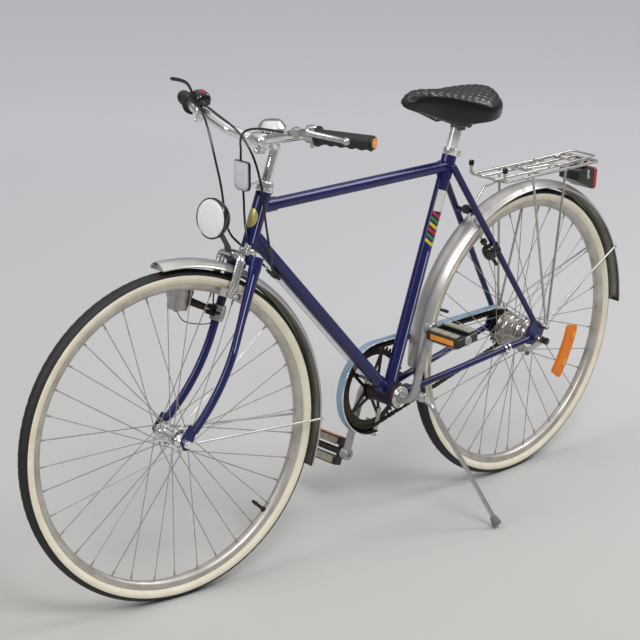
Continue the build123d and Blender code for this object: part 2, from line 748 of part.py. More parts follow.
CROWN_TOP = on_steerer(HEAD_BOTTOM) - STEER_DIR * (LOWER_CUP + RUNNING_GAP)
CROWN_LOW = CROWN_TOP - STEER_DIR * CROWN_THICK
NUT_LOW = on_steerer(HEAD_TOP) + STEER_DIR * (UPPER_CUP + RUNNING_GAP)
NUT_TOP = NUT_LOW + STEER_DIR * HEAD_NUT_THICK
FORK_SPAN = (CROWN_LOW - STEER_FOOT).length


def blade_point(share, side, ahead=0.0):
    """Middle of a fork blade, a share of the way from the crown to the level of the axle."""
    across = BLADE_Y + (FRONT_DROPOUT_Y + DROPOUT_THICK / 2 - BLADE_Y) * share
    return CROWN_LOW - STEER_DIR * (FORK_SPAN * share) + STEER_FRONT * ahead + ACROSS * (side * across)


def blade_tip(side):
    """End of a fork blade, just short of the axle."""
    axle = blade_point(1, side, FORK_OFFSET)
    back = (blade_point(BLADE_CORNER, side) - axle).normalized()
    return axle + back * FORK_END_REACH


def blade(side):
    """Straight tapered upper run, then a thinner run bent forward to the axle."""
    straight = blade_point(BLADE_STRAIGHT, side)
    corner = blade_point(BLADE_CORNER, side)
    tip = blade_tip(side)
    turn = radians((corner - straight).get_angle(tip - corner))
    shorter = min((corner - straight).length, (tip - corner).length)
    bend = BLADE_BEND_SHARE * shorter / tan(turn / 2)
    upper = rod(blade_point(0, side), straight, BLADE_ROOT, BLADE_THIN)
    return upper + bent([straight, corner, tip], BLADE_THIN, bend)


def fork_end(side):
    tip = blade_tip(side)
    half = FORK_END_WIDTH
    middle = side * (FRONT_DROPOUT_Y + DROPOUT_THICK / 2)
    outline = [
        (tip.X - BLADE_THIN, tip.Z + BLADE_THIN),
        (tip.X + BLADE_THIN, tip.Z + 2 * BLADE_THIN),
        (FRONT_HUB.X + half, half / 2),
        (FRONT_HUB.X + half / 2, -half),
        (FRONT_HUB.X - half / 2, -half),
        (FRONT_HUB.X - FORK_END_BACK, half / 2),
    ]
    end = plate(outline, middle, DROPOUT_THICK)
    low, high = sorted((side * (FRONT_DROPOUT_Y - CUT), side * (FRONT_DROPOUT_Y + DROPOUT_THICK + CUT)))
    return end - button(FRONT_HUB, FRONT_AXLE, low, high)


def fork():
    crown_face = steerer_plane(CROWN_LOW) * Rot(Z=90) * SlotOverall(2 * (BLADE_Y + BLADE_ROOT), CROWN_DEPTH)
    body = extrude(crown_face, amount=CROWN_THICK)
    body += rod(CROWN_TOP, NUT_TOP, STEERER)
    for side in (1, -1):
        body += blade(side)
        body += fork_end(side)
    guard_top = GUARD_RADIUS + 3 * BEAD_GAP
    drop = FORK_SPAN - sqrt(guard_top * guard_top - FORK_OFFSET * FORK_OFFSET)
    body += rod(CROWN_LOW, CROWN_LOW - STEER_DIR * drop, GUARD_BOLT)
    bore_low = NUT_TOP - STEER_DIR * QUILL_DEPTH
    return body - rod(bore_low, NUT_TOP + STEER_DIR * CUT, STEERER_BORE)


def mudguard(centre, radius, half, start, end):
    """Sheet channel bent round a wheel, from one angle above forward to another."""
    outer = [
        (radius - GUARD_EDGE_DROP, half),
        (radius - GUARD_HIP_DROP, GUARD_HIP),
        (radius, 0),
        (radius - GUARD_HIP_DROP, -GUARD_HIP),
        (radius - GUARD_EDGE_DROP, -half),
    ]
    inner = [
        (radius - GUARD_EDGE_DROP - GUARD_SHEET, -half + GUARD_SHEET),
        (radius - GUARD_HIP_DROP - GUARD_SHEET, -GUARD_HIP + GUARD_SHEET),
        (radius - GUARD_SHEET, 0),
        (radius - GUARD_HIP_DROP - GUARD_SHEET, GUARD_HIP - GUARD_SHEET),
        (radius - GUARD_EDGE_DROP - GUARD_SHEET, half - GUARD_SHEET),
    ]
    return lathe(outer + inner, wheel_plane(centre, end), end - start)


REAR_GUARD_CENTRE = at(-REAR_GUARD_BACK, 0, -REAR_GUARD_LOW)


def polar(centre, radius, angle, across=0.0):
    return centre + at(radius * cos(radians(angle)), across, radius * sin(radians(angle)))


def guard_stay(foot, centre, radius, half, angle):
    """Two wires from the axle to eyes on both edges of the mudguard."""
    wires = []
    for side in (1, -1):
        low, high = sorted((side * half, side * (half + 2 * STAY_WIRE)))
        edge = polar(centre, radius - GUARD_EDGE_DROP, angle)
        wire = rod(at(foot.X, side * foot.Y, foot.Z), edge + ACROSS * (side * (half + STAY_WIRE)), STAY_WIRE)
        wires.append(wire + button(edge, 2 * STAY_WIRE, low, high))
    return Compound(wires)


pieces["headset_cups"] = headset_cups()
pieces["fork"] = fork()
pieces["headset_nut"] = rod(NUT_LOW, NUT_TOP, HEAD_NUT) - rod(CROWN_TOP, NUT_TOP + STEER_DIR * CUT, STEERER)
pieces["front_mudguard"] = mudguard(FRONT_HUB, GUARD_RADIUS, GUARD_HALF, FRONT_GUARD_START, FRONT_GUARD_END)
pieces["rear_mudguard"] = mudguard(
    REAR_GUARD_CENTRE, REAR_GUARD_RADIUS, REAR_GUARD_HALF, REAR_GUARD_START, REAR_GUARD_END
)
front_foot_y = FRONT_DROPOUT_Y + DROPOUT_THICK + STAY_WIRE + STAY_GAP
front_foot = polar(FRONT_HUB, FRONT_STAY_FOOT, FRONT_STAY_ANGLE, front_foot_y)
pieces["front_mudguard_stay"] = guard_stay(front_foot, FRONT_HUB, GUARD_RADIUS, GUARD_HALF, FRONT_STAY_ANGLE)
rear_foot_y = REAR_DROPOUT_Y + DROPOUT_THICK + STAY_WIRE + STAY_GAP
rear_foot = at(STAY_EYE - EYELET_BACK, rear_foot_y, EYELET_UP + STAY_EYE)
pieces["rear_mudguard_stay"] = guard_stay(
    rear_foot, REAR_GUARD_CENTRE, REAR_GUARD_RADIUS, REAR_GUARD_HALF, REAR_STAY_ANGLE
)


# Handlebar, stem, grips and what they carry
BAR = 11.1
BAR_MIDDLE = over_head(7, 0, 105)
BAR_FLAT = 32
BAR_RISE_FOOT = over_head(37, 75, 122)
BAR_RISE_TOP = over_head(39, 190, 150)
BAR_END = over_head(-23, 328, 147)
BAR_BEND = 30
CLAMP_RADIUS = 17
CLAMP_HALF = 19
STEM_RISE = 94
STEM_HEIGHT = HEAD_TOP + STEM_RISE
STEM_RADIUS = 11.1
GRIP = 15
GRIP_LENGTH = 118
GRIP_FLANGE = 20
GRIP_FLANGE_THICK = 4
GRIP_CAP = 5

BAR_POINTS = [BAR_END, BAR_RISE_TOP, BAR_RISE_FOOT, BAR_MIDDLE + ACROSS * BAR_FLAT]


def handlebar():
    points = BAR_POINTS + [mirrored(point) for point in reversed(BAR_POINTS)]
    return bent(points, BAR, BAR_BEND)


def grip(side):
    end = BAR_END if side > 0 else mirrored(BAR_END)
    bend = BAR_RISE_TOP if side > 0 else mirrored(BAR_RISE_TOP)
    inward = (bend - end).normalized()
    body = rod(end - inward * GRIP_CAP, end + inward * GRIP_LENGTH, GRIP)
    root = end + inward * (GRIP_LENGTH - GRIP_FLANGE_THICK)
    body += rod(root, root + inward * GRIP_FLANGE_THICK, GRIP_FLANGE)
    return body - rod(end, end + inward * (GRIP_LENGTH + CUT), BAR)


def stem():
    top = on_steerer(STEM_HEIGHT)
    low = NUT_TOP - STEER_DIR * (QUILL_DEPTH - CUT)
    body = rod(low, top, STEM_RADIUS)
    body += Pos(*top) * Sphere(STEM_RADIUS)
    body += rod(top, BAR_MIDDLE, STEM_RADIUS)
    body += rod(BAR_MIDDLE - ACROSS * CLAMP_HALF, BAR_MIDDLE + ACROSS * CLAMP_HALF, CLAMP_RADIUS)
    return body - rod(BAR_MIDDLE - ACROSS * BAR_FLAT, BAR_MIDDLE + ACROSS * BAR_FLAT, BAR)


pieces["handlebar"] = handlebar()
pieces["grip_left"] = grip(1)
pieces["grip_right"] = grip(-1)
pieces["stem"] = stem()

LEVER_CLAMP = 15
LEVER_CLAMP_HALF = 9
LEVER_CLAMP_SHARE = 0.87
LEVER_PIVOT = over_head(55, 192, 156)
LEVER_KNEE = over_head(51, 222, 159)
LEVER_END = over_head(33, 320, 155)
LEVER_BARREL = over_head(53, 165, 150)
LEVER_RADIUS = 5
LEVER_BODY = 6.5
LEVER_BARREL_RADIUS = 4.5
LEVER_BALL = 7.5


def bar_band(share, half, radius):
    """Band round the bar's swept run, a share of the way from its end to its bend."""
    along = (BAR_RISE_TOP - BAR_END).normalized()
    middle = BAR_END + (BAR_RISE_TOP - BAR_END) * share
    return middle, along, rod(middle - along * half, middle + along * half, radius)


def brake_lever():
    middle, along, band = bar_band(LEVER_CLAMP_SHARE, LEVER_CLAMP_HALF, LEVER_CLAMP)
    body = band + rod(middle, LEVER_PIVOT, LEVER_BODY)
    body += bent([LEVER_PIVOT, LEVER_KNEE, LEVER_END], LEVER_RADIUS, 4 * LEVER_RADIUS)
    body += Pos(*LEVER_END) * Sphere(LEVER_BALL)
    body += Pos(*LEVER_PIVOT) * Sphere(LEVER_BODY)
    body += rod(LEVER_PIVOT, LEVER_BARREL, LEVER_BARREL_RADIUS)
    bore = rod(middle - along * 2 * LEVER_CLAMP_HALF, middle + along * 2 * LEVER_CLAMP_HALF, BAR)
    return body - bore


SHIFTER_DEPTH = 36
SHIFTER_WIDTH = 38
SHIFTER_HEIGHT = 28
SHIFTER_PLACE = over_head(37, -170, 173)
SHIFTER_CLAMP_HALF = 8
SHIFTER_ARM = 4
SHIFTER_ARM_FOOT = over_head(48, -183, 180)
SHIFTER_ARM_KNEE = over_head(62, -192, 206)
SHIFTER_ARM_TIP = over_head(82, -208, 210)


def shifter():
    """Box on the right side of the bar with a curved thumb lever."""
    along = (mirrored(BAR_RISE_TOP) - mirrored(BAR_RISE_FOOT)).normalized()
    share = (-SHIFTER_PLACE.Y - BAR_RISE_FOOT.Y) / (BAR_RISE_TOP.Y - BAR_RISE_FOOT.Y)
    middle = mirrored(BAR_RISE_FOOT + (BAR_RISE_TOP - BAR_RISE_FOOT) * share)
    body = rod(middle - along * SHIFTER_CLAMP_HALF, middle + along * SHIFTER_CLAMP_HALF, LEVER_CLAMP)
    body += rod(middle, SHIFTER_PLACE, SHIFTER_CLAMP_HALF)
    body += block(SHIFTER_PLACE, SHIFTER_DEPTH, SHIFTER_WIDTH, SHIFTER_HEIGHT)
    body += bent([SHIFTER_ARM_FOOT, SHIFTER_ARM_KNEE, SHIFTER_ARM_TIP], SHIFTER_ARM, 2 * SHIFTER_ARM, 8)
    body += Pos(*SHIFTER_ARM_TIP) * Sphere(SHIFTER_ARM)
    return body - rod(middle - along * SHIFTER_WIDTH, middle + along * SHIFTER_WIDTH, BAR)


BELL_RADIUS = 29
BELL_HEIGHT = 20
BELL_TOP = 20.3
BELL_FOOT = 10
BELL_PLACE = on_steerer(STEM_HEIGHT, 12)
BELL_LIFT = 26


def bell():
    base = at(BELL_PLACE.X, 0, BELL_PLACE.Z + BELL_LIFT)
    profile = [
        (0, 0),
        (BELL_RADIUS - CUT, 0),
        (BELL_RADIUS, CUT),
        (BELL_RADIUS, BELL_HEIGHT / 2),
        (BELL_TOP, BELL_HEIGHT),
        (0, BELL_HEIGHT),
    ]
    dome = lathe(profile, Plane(origin=base, z_dir=(0, 0, 1)))
    return dome + rod(base - UP * BELL_LIFT, base, BELL_FOOT)


pieces["brake_lever"] = brake_lever() - pieces["grip_left"] - pieces["handlebar"]
pieces["shifter"] = shifter() - pieces["grip_right"] - pieces["handlebar"]
pieces["bell"] = bell() - pieces["stem"] - pieces["handlebar"]

LAMP_CENTRE = over_head(128, 0, -37)
LAMP_TURN = 10
LAMP_TILT = 6
LAMP_RADIUS = 41.5
LAMP_RIM = 7
LAMP_DEPTH = 36
LAMP_BACK = 17
LAMP_SHOULDER_SHARE = 0.85
LAMP_KNOB = 8
LAMP_KNOB_LENGTH = 12
LENS_THICK = 4
LENS_RADIUS = 38.5
BRACKET_STRIP = 3
BRACKET_WIDTH = 20


def lamp_plane():
    facing = at(cos(radians(LAMP_TURN)), sin(radians(LAMP_TURN)), tan(radians(LAMP_TILT)))
    return Plane(origin=LAMP_CENTRE, z_dir=facing)


def headlamp():
    profile = [
        (0, -LAMP_DEPTH - LAMP_KNOB_LENGTH),
        (LAMP_KNOB, -LAMP_DEPTH - LAMP_KNOB_LENGTH),
        (LAMP_KNOB, -LAMP_DEPTH),
        (LAMP_BACK, -LAMP_DEPTH),
        (LAMP_SHOULDER_SHARE * LAMP_RADIUS, -LAMP_DEPTH / 2),
        (LAMP_RADIUS, -LAMP_RIM),
        (LAMP_RADIUS, 0),
        (LENS_RADIUS, 0),
        (LENS_RADIUS, -LENS_THICK),
        (0, -LENS_THICK),
    ]
    return lathe(profile, lamp_plane())


def headlamp_lens():
    bow = [(LENS_RADIUS, 0), (LENS_RADIUS / 2, LENS_THICK), (0, LENS_THICK)]
    profile = [(0, -LENS_THICK), (LENS_RADIUS, -LENS_THICK)] + bow
    return lathe(profile, lamp_plane())


CROWN_MIDDLE = (CROWN_TOP + CROWN_LOW) / 2
BRAKE_PIVOT = CROWN_MIDDLE + STEER_FRONT * (CROWN_DEPTH / 2)
BRAKE_BOLT = 4
BRAKE_BOLT_LENGTH = 30
ARM_AHEAD = 9
ARM_THICK = 5
ARM_SHOULDER = 4
ARM_HALF = 34
ARM_WRIST = 16
PAD_DROP = 8
PAD_RADIUS = RIM_EDGE - PAD_DROP
PAD_INNER = 15
PAD_THICK = 9
PAD_LENGTH = 42
PAD_HEIGHT = 11
BARREL_RADIUS = 4
BARREL_LENGTH = 18
BARREL_ACROSS = 20
BARREL_RISE = 20
ARM_PLANE = CROWN_MIDDLE + STEER_FRONT * (CROWN_DEPTH / 2 + ARM_AHEAD)
BRAKE_BARREL = ARM_PLANE + STEER_DIR * BARREL_RISE + ACROSS * BARREL_ACROSS


def lamp_bracket():
    """Flat strip from the brake bolt up to the lamp."""
    foot = BRAKE_PIVOT + STEER_FRONT * (BRAKE_BOLT_LENGTH - 2 * BRACKET_STRIP)
    top = LAMP_CENTRE + at(-LAMP_DEPTH / 2, 0, -LAMP_RADIUS)
    low = foot + STEER_DIR * (-BRACKET_WIDTH / 2)
    knee = at(foot.X + 2 * BRACKET_STRIP, 0, foot.Z + BRACKET_WIDTH)
    outline = [low, knee, top + UP * BRACKET_WIDTH]
    front = [(point.X + BRACKET_STRIP, point.Z) for point in outline]
    back = [(point.X, point.Z) for point in reversed(outline)]
    return plate(front + back, 0, BRACKET_WIDTH)


def caliper():
    """Side-pull brake: a bolt in the crown and two arms round the guard, with a pad on each."""
    front = BRAKE_PIVOT + STEER_FRONT * BRAKE_BOLT_LENGTH
    body = rod(BRAKE_PIVOT, front, BRAKE_BOLT)
    plane_ahead = CROWN_DEPTH / 2 + ARM_AHEAD
    pad_rise = sqrt(PAD_RADIUS * PAD_RADIUS - (FORK_OFFSET - plane_ahead) ** 2)
    for side, lag in ((1, 0), (-1, ARM_THICK)):
        ahead = STEER_FRONT * (plane_ahead + lag)
        crown = CROWN_MIDDLE + ahead
        foot = STEER_FOOT + STEER_DIR * pad_rise + ahead
        knee = crown + STEER_DIR * ARM_SHOULDER + ACROSS * (side * ARM_HALF)
        wrist = foot + STEER_DIR * ARM_WRIST + ACROSS * (side * ARM_HALF)
        hand = foot + ACROSS * (side * (PAD_INNER + PAD_THICK))
        body += bent([crown, knee, wrist, hand], ARM_THICK, ARM_THICK, 8)
        pad_middle = foot + ACROSS * (side * (PAD_INNER + PAD_THICK / 2))
        body += steerer_plane(pad_middle).location * Box(PAD_LENGTH, PAD_THICK, PAD_HEIGHT)
    body += rod(BRAKE_BARREL - STEER_DIR * BARREL_LENGTH, BRAKE_BARREL, BARREL_RADIUS)
    return body


pieces["headlamp"] = headlamp()
pieces["headlamp_lens"] = headlamp_lens()
pieces["front_brake"] = caliper() - pieces["fork"]
pieces["lamp_bracket"] = lamp_bracket() - pieces["headlamp"] - pieces["front_brake"]

PLATE_AHEAD = 48
PLATE_RISE = 40
PLATE_HALF = 26
PLATE_TALL = 60
PLATE_THICK = 7


def front_reflector():
    """Square reflector with a round lower edge on an angled bracket from the headset."""
    middle = over_head(PLATE_AHEAD, 0, PLATE_RISE)
    face = Plane(origin=middle, x_dir=(0, 1, 0), z_dir=(1, 0, 0))
    body = extrude(face * Rectangle(2 * PLATE_HALF, PLATE_TALL), amount=PLATE_THICK)
    lower = body.edges().filter_by(Axis.X).group_by(Axis.Z)[0]
    body = fillet(lower, PLATE_HALF / 2)
    foot = on_steerer(HEAD_TOP + 2 * UPPER_CUP, HEAD_NUT - CUT)
    strip = rod(foot, middle + FORWARD * CUT - UP * (PLATE_TALL / 4), BRACKET_STRIP)
    return body + strip - pieces["headset_nut"] - pieces["fork"]


pieces["front_reflector"] = front_reflector()

DYNAMO_RADIUS = 20
DYNAMO_BASE = 16
DYNAMO_LENGTH = 52
DYNAMO_NECK = 9
DYNAMO_NECK_LENGTH = 14
DYNAMO_ROLLER = 11
DYNAMO_ROLLER_LENGTH = 14
DYNAMO_ANGLE = 100.5
DYNAMO_REACH = 93
DYNAMO_BOTTOM = TYRE_RADIUS - DYNAMO_REACH
DYNAMO_Y = 46
DYNAMO_CLAMP = 16


def dynamo():
    """Bottle dynamo beside the tyre, on a clamp round the right fork blade."""
    bottom = polar(FRONT_HUB, DYNAMO_BOTTOM, DYNAMO_ANGLE, -DYNAMO_Y)
    outward = (bottom + ACROSS * DYNAMO_Y - FRONT_HUB).normalized()
    profile = [
        (0, 0),
        (DYNAMO_BASE, 0),
        (DYNAMO_RADIUS, CUT),
        (DYNAMO_RADIUS, DYNAMO_LENGTH),
        (DYNAMO_NECK, DYNAMO_LENGTH + CUT),
        (DYNAMO_NECK, DYNAMO_LENGTH + DYNAMO_NECK_LENGTH),
        (DYNAMO_ROLLER, DYNAMO_LENGTH + DYNAMO_NECK_LENGTH),
        (DYNAMO_ROLLER, DYNAMO_LENGTH + DYNAMO_NECK_LENGTH + DYNAMO_ROLLER_LENGTH),
        (0, DYNAMO_LENGTH + DYNAMO_NECK_LENGTH + DYNAMO_ROLLER_LENGTH),
    ]
    body = lathe(profile, Plane(origin=bottom, z_dir=outward))
    middle = blade_point(BLADE_STRAIGHT, -1)
    along = (middle - blade_point(0, -1)).normalized()
    body += rod(bottom + outward * DYNAMO_LENGTH / 2, middle, BRACKET_STRIP + CUT)
    body += rod(middle - along * DYNAMO_CLAMP, middle + along * DYNAMO_CLAMP, BLADE_ROOT + LUG_WALL)
    return body - pieces["fork"]


pieces["dynamo"] = dynamo()


# Seat
POST_RISE = 72
POST_TOP = on_seat_tube(SEAT_TUBE_TOP + POST_RISE)
SADDLE_BACK = 98
SADDLE_LENGTH = 268
SADDLE_RISE = 76
SADDLE_TALL = 64
SADDLE_REAR = POST_TOP.X - SADDLE_BACK
SADDLE_NOSE = SADDLE_REAR + SADDLE_LENGTH
SADDLE_TOP = POST_TOP.Z + SADDLE_RISE
SADDLE_SKIRT = SADDLE_TOP - SADDLE_TALL
SADDLE_HALF = 80
SADDLE_NOSE_HALF = 20
SADDLE_FLARE = 26
SADDLE_WAIST_HALF = 48
SADDLE_HIND_HALF = 64
SADDLE_TAIL_HALF = 24
SADDLE_WIDEST = 56
SADDLE_WAIST = SADDLE_NOSE - 2 * SADDLE_HALF
SADDLE_ROUND = 12
CLAMP_SIZE = 34


def seat_post():
    low = SEAT_TUBE_END - (SEAT_TUBE_END - BRACKET).normalized() * (SEAT_BORE_DEPTH - CUT)
    return rod(low, POST_TOP, TUBE_SMALL)


def saddle():
    """Padded top, wide at the back and narrow at the nose."""
    plan_points = [
        (SADDLE_NOSE, 0),
        (SADDLE_NOSE - SADDLE_NOSE_HALF / 2, SADDLE_NOSE_HALF),
        (SADDLE_WAIST + SADDLE_HALF, SADDLE_FLARE),
        (SADDLE_WAIST, SADDLE_WAIST_HALF),
        (SADDLE_REAR + SADDLE_WIDEST, SADDLE_HALF),
        (SADDLE_REAR + SADDLE_ROUND, SADDLE_HIND_HALF),
        (SADDLE_REAR, SADDLE_TAIL_HALF),
    ]
    half = [at(x, y, SADDLE_SKIRT) for x, y in plan_points]
    other = [mirrored(point) for point in reversed(half[1:])]
    plan = make_face(Spline(*half, *other, periodic=True))
    body = extrude(plan, amount=SADDLE_TOP - SADDLE_SKIRT + CUT, dir=(0, 0, 1))
    side = [
        (SADDLE_REAR - CUT, SADDLE_SKIRT),
        (SADDLE_REAR + SADDLE_WAIST_HALF, SADDLE_SKIRT - SADDLE_ROUND / 2),
        (SADDLE_WAIST, SADDLE_SKIRT + SADDLE_ROUND),
        (SADDLE_NOSE + CUT, SADDLE_TOP - 3 * SADDLE_ROUND),
        (SADDLE_NOSE + CUT, SADDLE_TOP - SADDLE_ROUND),
        (SADDLE_WAIST, SADDLE_TOP - SADDLE_ROUND / 2),
        (SADDLE_REAR + SADDLE_HALF / 2, SADDLE_TOP),
        (SADDLE_REAR - CUT, SADDLE_TOP - SADDLE_ROUND),
    ]
    return body & plate(side, 0, 3 * SADDLE_HALF)


def saddle_clamp():
    body = rod(POST_TOP - UP * CLAMP_SIZE / 2, POST_TOP + UP * CLAMP_SIZE / 4, TUBE_SMALL + 2 * LUG_WALL)
    body += rod(POST_TOP - ACROSS * CLAMP_SIZE, POST_TOP + ACROSS * CLAMP_SIZE, CLAMP_SIZE / 4)
    for side in (1, -1):
        rear = at(SADDLE_REAR + SADDLE_HALF / 2, side * CLAMP_SIZE, SADDLE_SKIRT + SADDLE_ROUND)
        front = at(SADDLE_NOSE - SADDLE_HALF / 2, side * SADDLE_NOSE_HALF / 2, SADDLE_TOP - 3 * SADDLE_ROUND)
        middle_rear = POST_TOP + ACROSS * (side * CLAMP_SIZE) - FORWARD * CLAMP_SIZE
        middle_front = POST_TOP + ACROSS * (side * CLAMP_SIZE) + FORWARD * CLAMP_SIZE
        body += bent([rear, middle_rear, middle_front, front], BRIDGE_RADIUS / 2, BRIDGE_RADIUS, 6)
    return body


pieces["seat_post"] = seat_post()
pieces["saddle"] = saddle()
pieces["saddle_clamp"] = saddle_clamp() - pieces["seat_post"] - pieces["saddle"]


# Rack, tail lamp, lock, bridges
RACK_WIRE = 4
RACK_FROM_BRACKET = 302
RACK_LENGTH = 340
RACK_FRONT = BRACKET_FORWARD - RACK_FROM_BRACKET
RACK_BACK = RACK_FRONT - RACK_LENGTH
RACK_CLEARANCE = 23
RACK_SLOPE = 24
RACK_BACK_Z = REAR_GUARD_RADIUS + RACK_CLEARANCE
RACK_FRONT_Z = RACK_BACK_Z + RACK_SLOPE
RACK_HALF = 50
RACK_RAIL = 20
RACK_LEG_TOPS = [34, -84]
PEG_HEIGHT = 22
LAMP_BOX_FRONT = 46
LAMP_BOX_BACK = 26
LAMP_BOX_LOW = 74
LAMP_BOX_HIGH = 22
LAMP_BOX_NOSE = 45
LAMP_BOX_WIDTH = 60
LAMP_TAB = 16


def on_rack(x, y):
    """Point of the rack's sloping deck."""
    share = (x - RACK_BACK) / (RACK_FRONT - RACK_BACK)
    return at(x, y, RACK_BACK_Z + (RACK_FRONT_Z - RACK_BACK_Z) * share)


def rack_deck():
    front = [on_rack(RACK_FRONT, RACK_HALF) + UP * PEG_HEIGHT, on_rack(RACK_FRONT, RACK_HALF)]
    back = on_rack(RACK_BACK, RACK_HALF)
    loop = front + [back, mirrored(back)] + [mirrored(point) for point in reversed(front)]
    deck = bent(loop, RACK_WIRE, 2 * RACK_WIRE, 8)
    for side in (1, -1):
        deck += bar(on_rack(RACK_FRONT, side * RACK_RAIL), on_rack(RACK_BACK, side * RACK_RAIL), RACK_WIRE)
    for x in (RACK_FRONT - 2 * RACK_WIRE, 0, RACK_BACK / 2):
        deck += bar(on_rack(x, -RACK_HALF), on_rack(x, RACK_HALF), RACK_WIRE)
    return deck


def rack_leg(side):
    """Two struts from the eye of the dropout up to the deck."""
    outside = REAR_DROPOUT_Y + DROPOUT_THICK
    foot = at(-EYELET_BACK, side * (outside + 2 * STAY_WIRE + RACK_WIRE), EYELET_UP)
    low, high = sorted((side * outside, side * (outside + 2 * STAY_WIRE + 2 * RACK_WIRE)))
    legs = button(at(foot.X, 0, foot.Z), RACK_WIRE + CUT, low, high)
    for x in RACK_LEG_TOPS:
        legs += rod(foot, on_rack(x, side * RACK_HALF) - UP * RACK_WIRE, RACK_WIRE - CUT / 2)
    return legs


def tail_lamp():
    """Wedge-fronted box hung under the back of the rack by a tab."""
    back = on_rack(RACK_BACK, 0)
    outline = [
        (back.X + LAMP_BOX_FRONT, back.Z - LAMP_BOX_HIGH),
        (back.X - LAMP_BOX_BACK, back.Z - LAMP_BOX_HIGH),
        (back.X - LAMP_BOX_BACK + RACK_WIRE, back.Z - LAMP_BOX_LOW),
        (back.X + LAMP_BOX_FRONT, back.Z - LAMP_BOX_NOSE),
    ]
    body = plate(outline, 0, LAMP_BOX_WIDTH)
    return body + block(back - UP * (LAMP_BOX_HIGH / 2), LAMP_TAB, LAMP_BOX_WIDTH / 2, LAMP_BOX_HIGH)


pieces["rack"] = rack_deck() + rack_leg(1) + rack_leg(-1)
pieces["tail_lamp"] = tail_lamp() - pieces["rack"]

BRIDGE_SHARE = 0.29
LOCK_SHARE = 0.5
LOCK_RADIUS = 15
LOCK_LENGTH = 36


def on_seat_stay(share, side):
    root = on_seat_tube(TOP_TUBE_HEIGHT) + ACROSS * (side * SEAT_STAY_ROOT_Y)
    end = SEAT_STAY_END + ACROSS * (side * (REAR_DROPOUT_Y + DROPOUT_THICK / 2))
    return root + (end - root) * share


def stay_bridge():
    return rod(on_seat_stay(BRIDGE_SHARE, 1), on_seat_stay(BRIDGE_SHARE, -1), BRIDGE_RADIUS)


def frame_lock():
    """Round lock housing clamped inside the left seat stay."""
    along = (on_seat_stay(1, 1) - on_seat_stay(0, 1)).normalized()
    ahead = at(-along.Z, 0, along.X)
    middle = on_seat_stay(LOCK_SHARE, 1) + ahead * (STAY_THICK + LOCK_RADIUS - CUT)
    body = rod(middle - along * LOCK_LENGTH / 2, middle + along * LOCK_LENGTH / 2, LOCK_RADIUS)
    body += rod(middle - along * LOCK_LENGTH, middle, LOCK_RADIUS / 2)
    return body - pieces["seat_stays"]


pieces["seat_stays"] = pieces.pop("seat_stay_left") + pieces.pop("seat_stay_right") + stay_bridge()
pieces["frame_lock"] = frame_lock()

GUARD_CHAIN_RADIUS = 106
GUARD_CHAIN_BACK = -45
GUARD_CHAIN_BACK_Z = 33
GUARD_KNEE_BACK = 186
GUARD_KNEE = BRACKET_FORWARD - GUARD_KNEE_BACK
GUARD_KNEE_Z = 57
GUARD_CHAIN_END = -98
GUARD_CHAIN_Y = 53.5
GUARD_CHAIN_FLANGE = 20
GUARD_CHAIN_BAND = 24
GUARD_CLIP = 130
GUARD_CLIP_RADIUS = 2.5
CHAIN_GUARD_SHEET = 1.4


def chain_guard():
    """Angle-section strip over the chain's top run and round the front of the chainring."""
    rear = at(GUARD_CHAIN_BACK, -GUARD_CHAIN_Y, GUARD_CHAIN_BACK_Z)
    centre = BRACKET - ACROSS * GUARD_CHAIN_Y
    knee = at(GUARD_KNEE, -GUARD_CHAIN_Y, GUARD_KNEE_Z)
    away = knee - centre
    reach = hypot(away.X, away.Z)
    touch = degrees(atan2(away.Z, away.X)) - degrees(pi / 2 - asin(GUARD_CHAIN_RADIUS / reach))
    tangent = polar(centre, GUARD_CHAIN_RADIUS, touch)
    middle = polar(centre, GUARD_CHAIN_RADIUS, (touch + GUARD_CHAIN_END) / 2)
    end = polar(centre, GUARD_CHAIN_RADIUS, GUARD_CHAIN_END)
    section_plane = Plane(origin=knee, x_dir=(0, 1, 0), z_dir=tangent - knee)
    path = Wire([Edge.make_line(knee, tangent), Edge.make_three_point_arc(tangent, middle, end)])
    outline = [
        (0, 0),
        (GUARD_CHAIN_FLANGE, 0),
        (GUARD_CHAIN_FLANGE, CHAIN_GUARD_SHEET),
        (CHAIN_GUARD_SHEET, CHAIN_GUARD_SHEET),
        (CHAIN_GUARD_SHEET, GUARD_CHAIN_BAND),
        (0, GUARD_CHAIN_BAND),
    ]
    body = sweep(section_plane * make_face(Polyline(*outline, close=True)), path=path)
    band = [
        (rear.X, rear.Z),
        (knee.X, knee.Z),
        (knee.X, knee.Z - GUARD_CHAIN_BAND),
        (rear.X, rear.Z - GUARD_CHAIN_BAND),
    ]
    body += plate(band, CHAIN_GUARD_SHEET / 2 - GUARD_CHAIN_Y, CHAIN_GUARD_SHEET)
    clip_high = at(GUARD_CLIP, -GUARD_CHAIN_Y - GUARD_CLIP_RADIUS / 2, knee.Z - GUARD_CHAIN_BAND)
    clip_low = at(GUARD_CLIP, -GUARD_CHAIN_Y, -CHAIN_STAY_THIN)
    return body + rod(clip_low, clip_high, GUARD_CLIP_RADIUS) - pieces["chain_stay_right"]


pieces["chain_guard"] = chain_guard()

STAND_BACK = 62
STAND_FORWARD = BRACKET_FORWARD - STAND_BACK
STAND_Y = 34
STAND_Z = 62
STAND_SLANT = 0.45
STAND_AXIS = at(-STAND_SLANT, 1, 0).normalized()
STAND_BOSS = 11
STAND_BOSS_HALF = 8
STAND_LEG = 6.5
STAND_PAD = 13
STAND_KNEE = at(STAND_FORWARD, 80, -77)
STAND_FOOT = at(STAND_FORWARD - STAND_BACK, 241, STAND_PAD - TYRE_RADIUS)
STAND_PLATE = 6
STAND_PLATE_LENGTH = 46


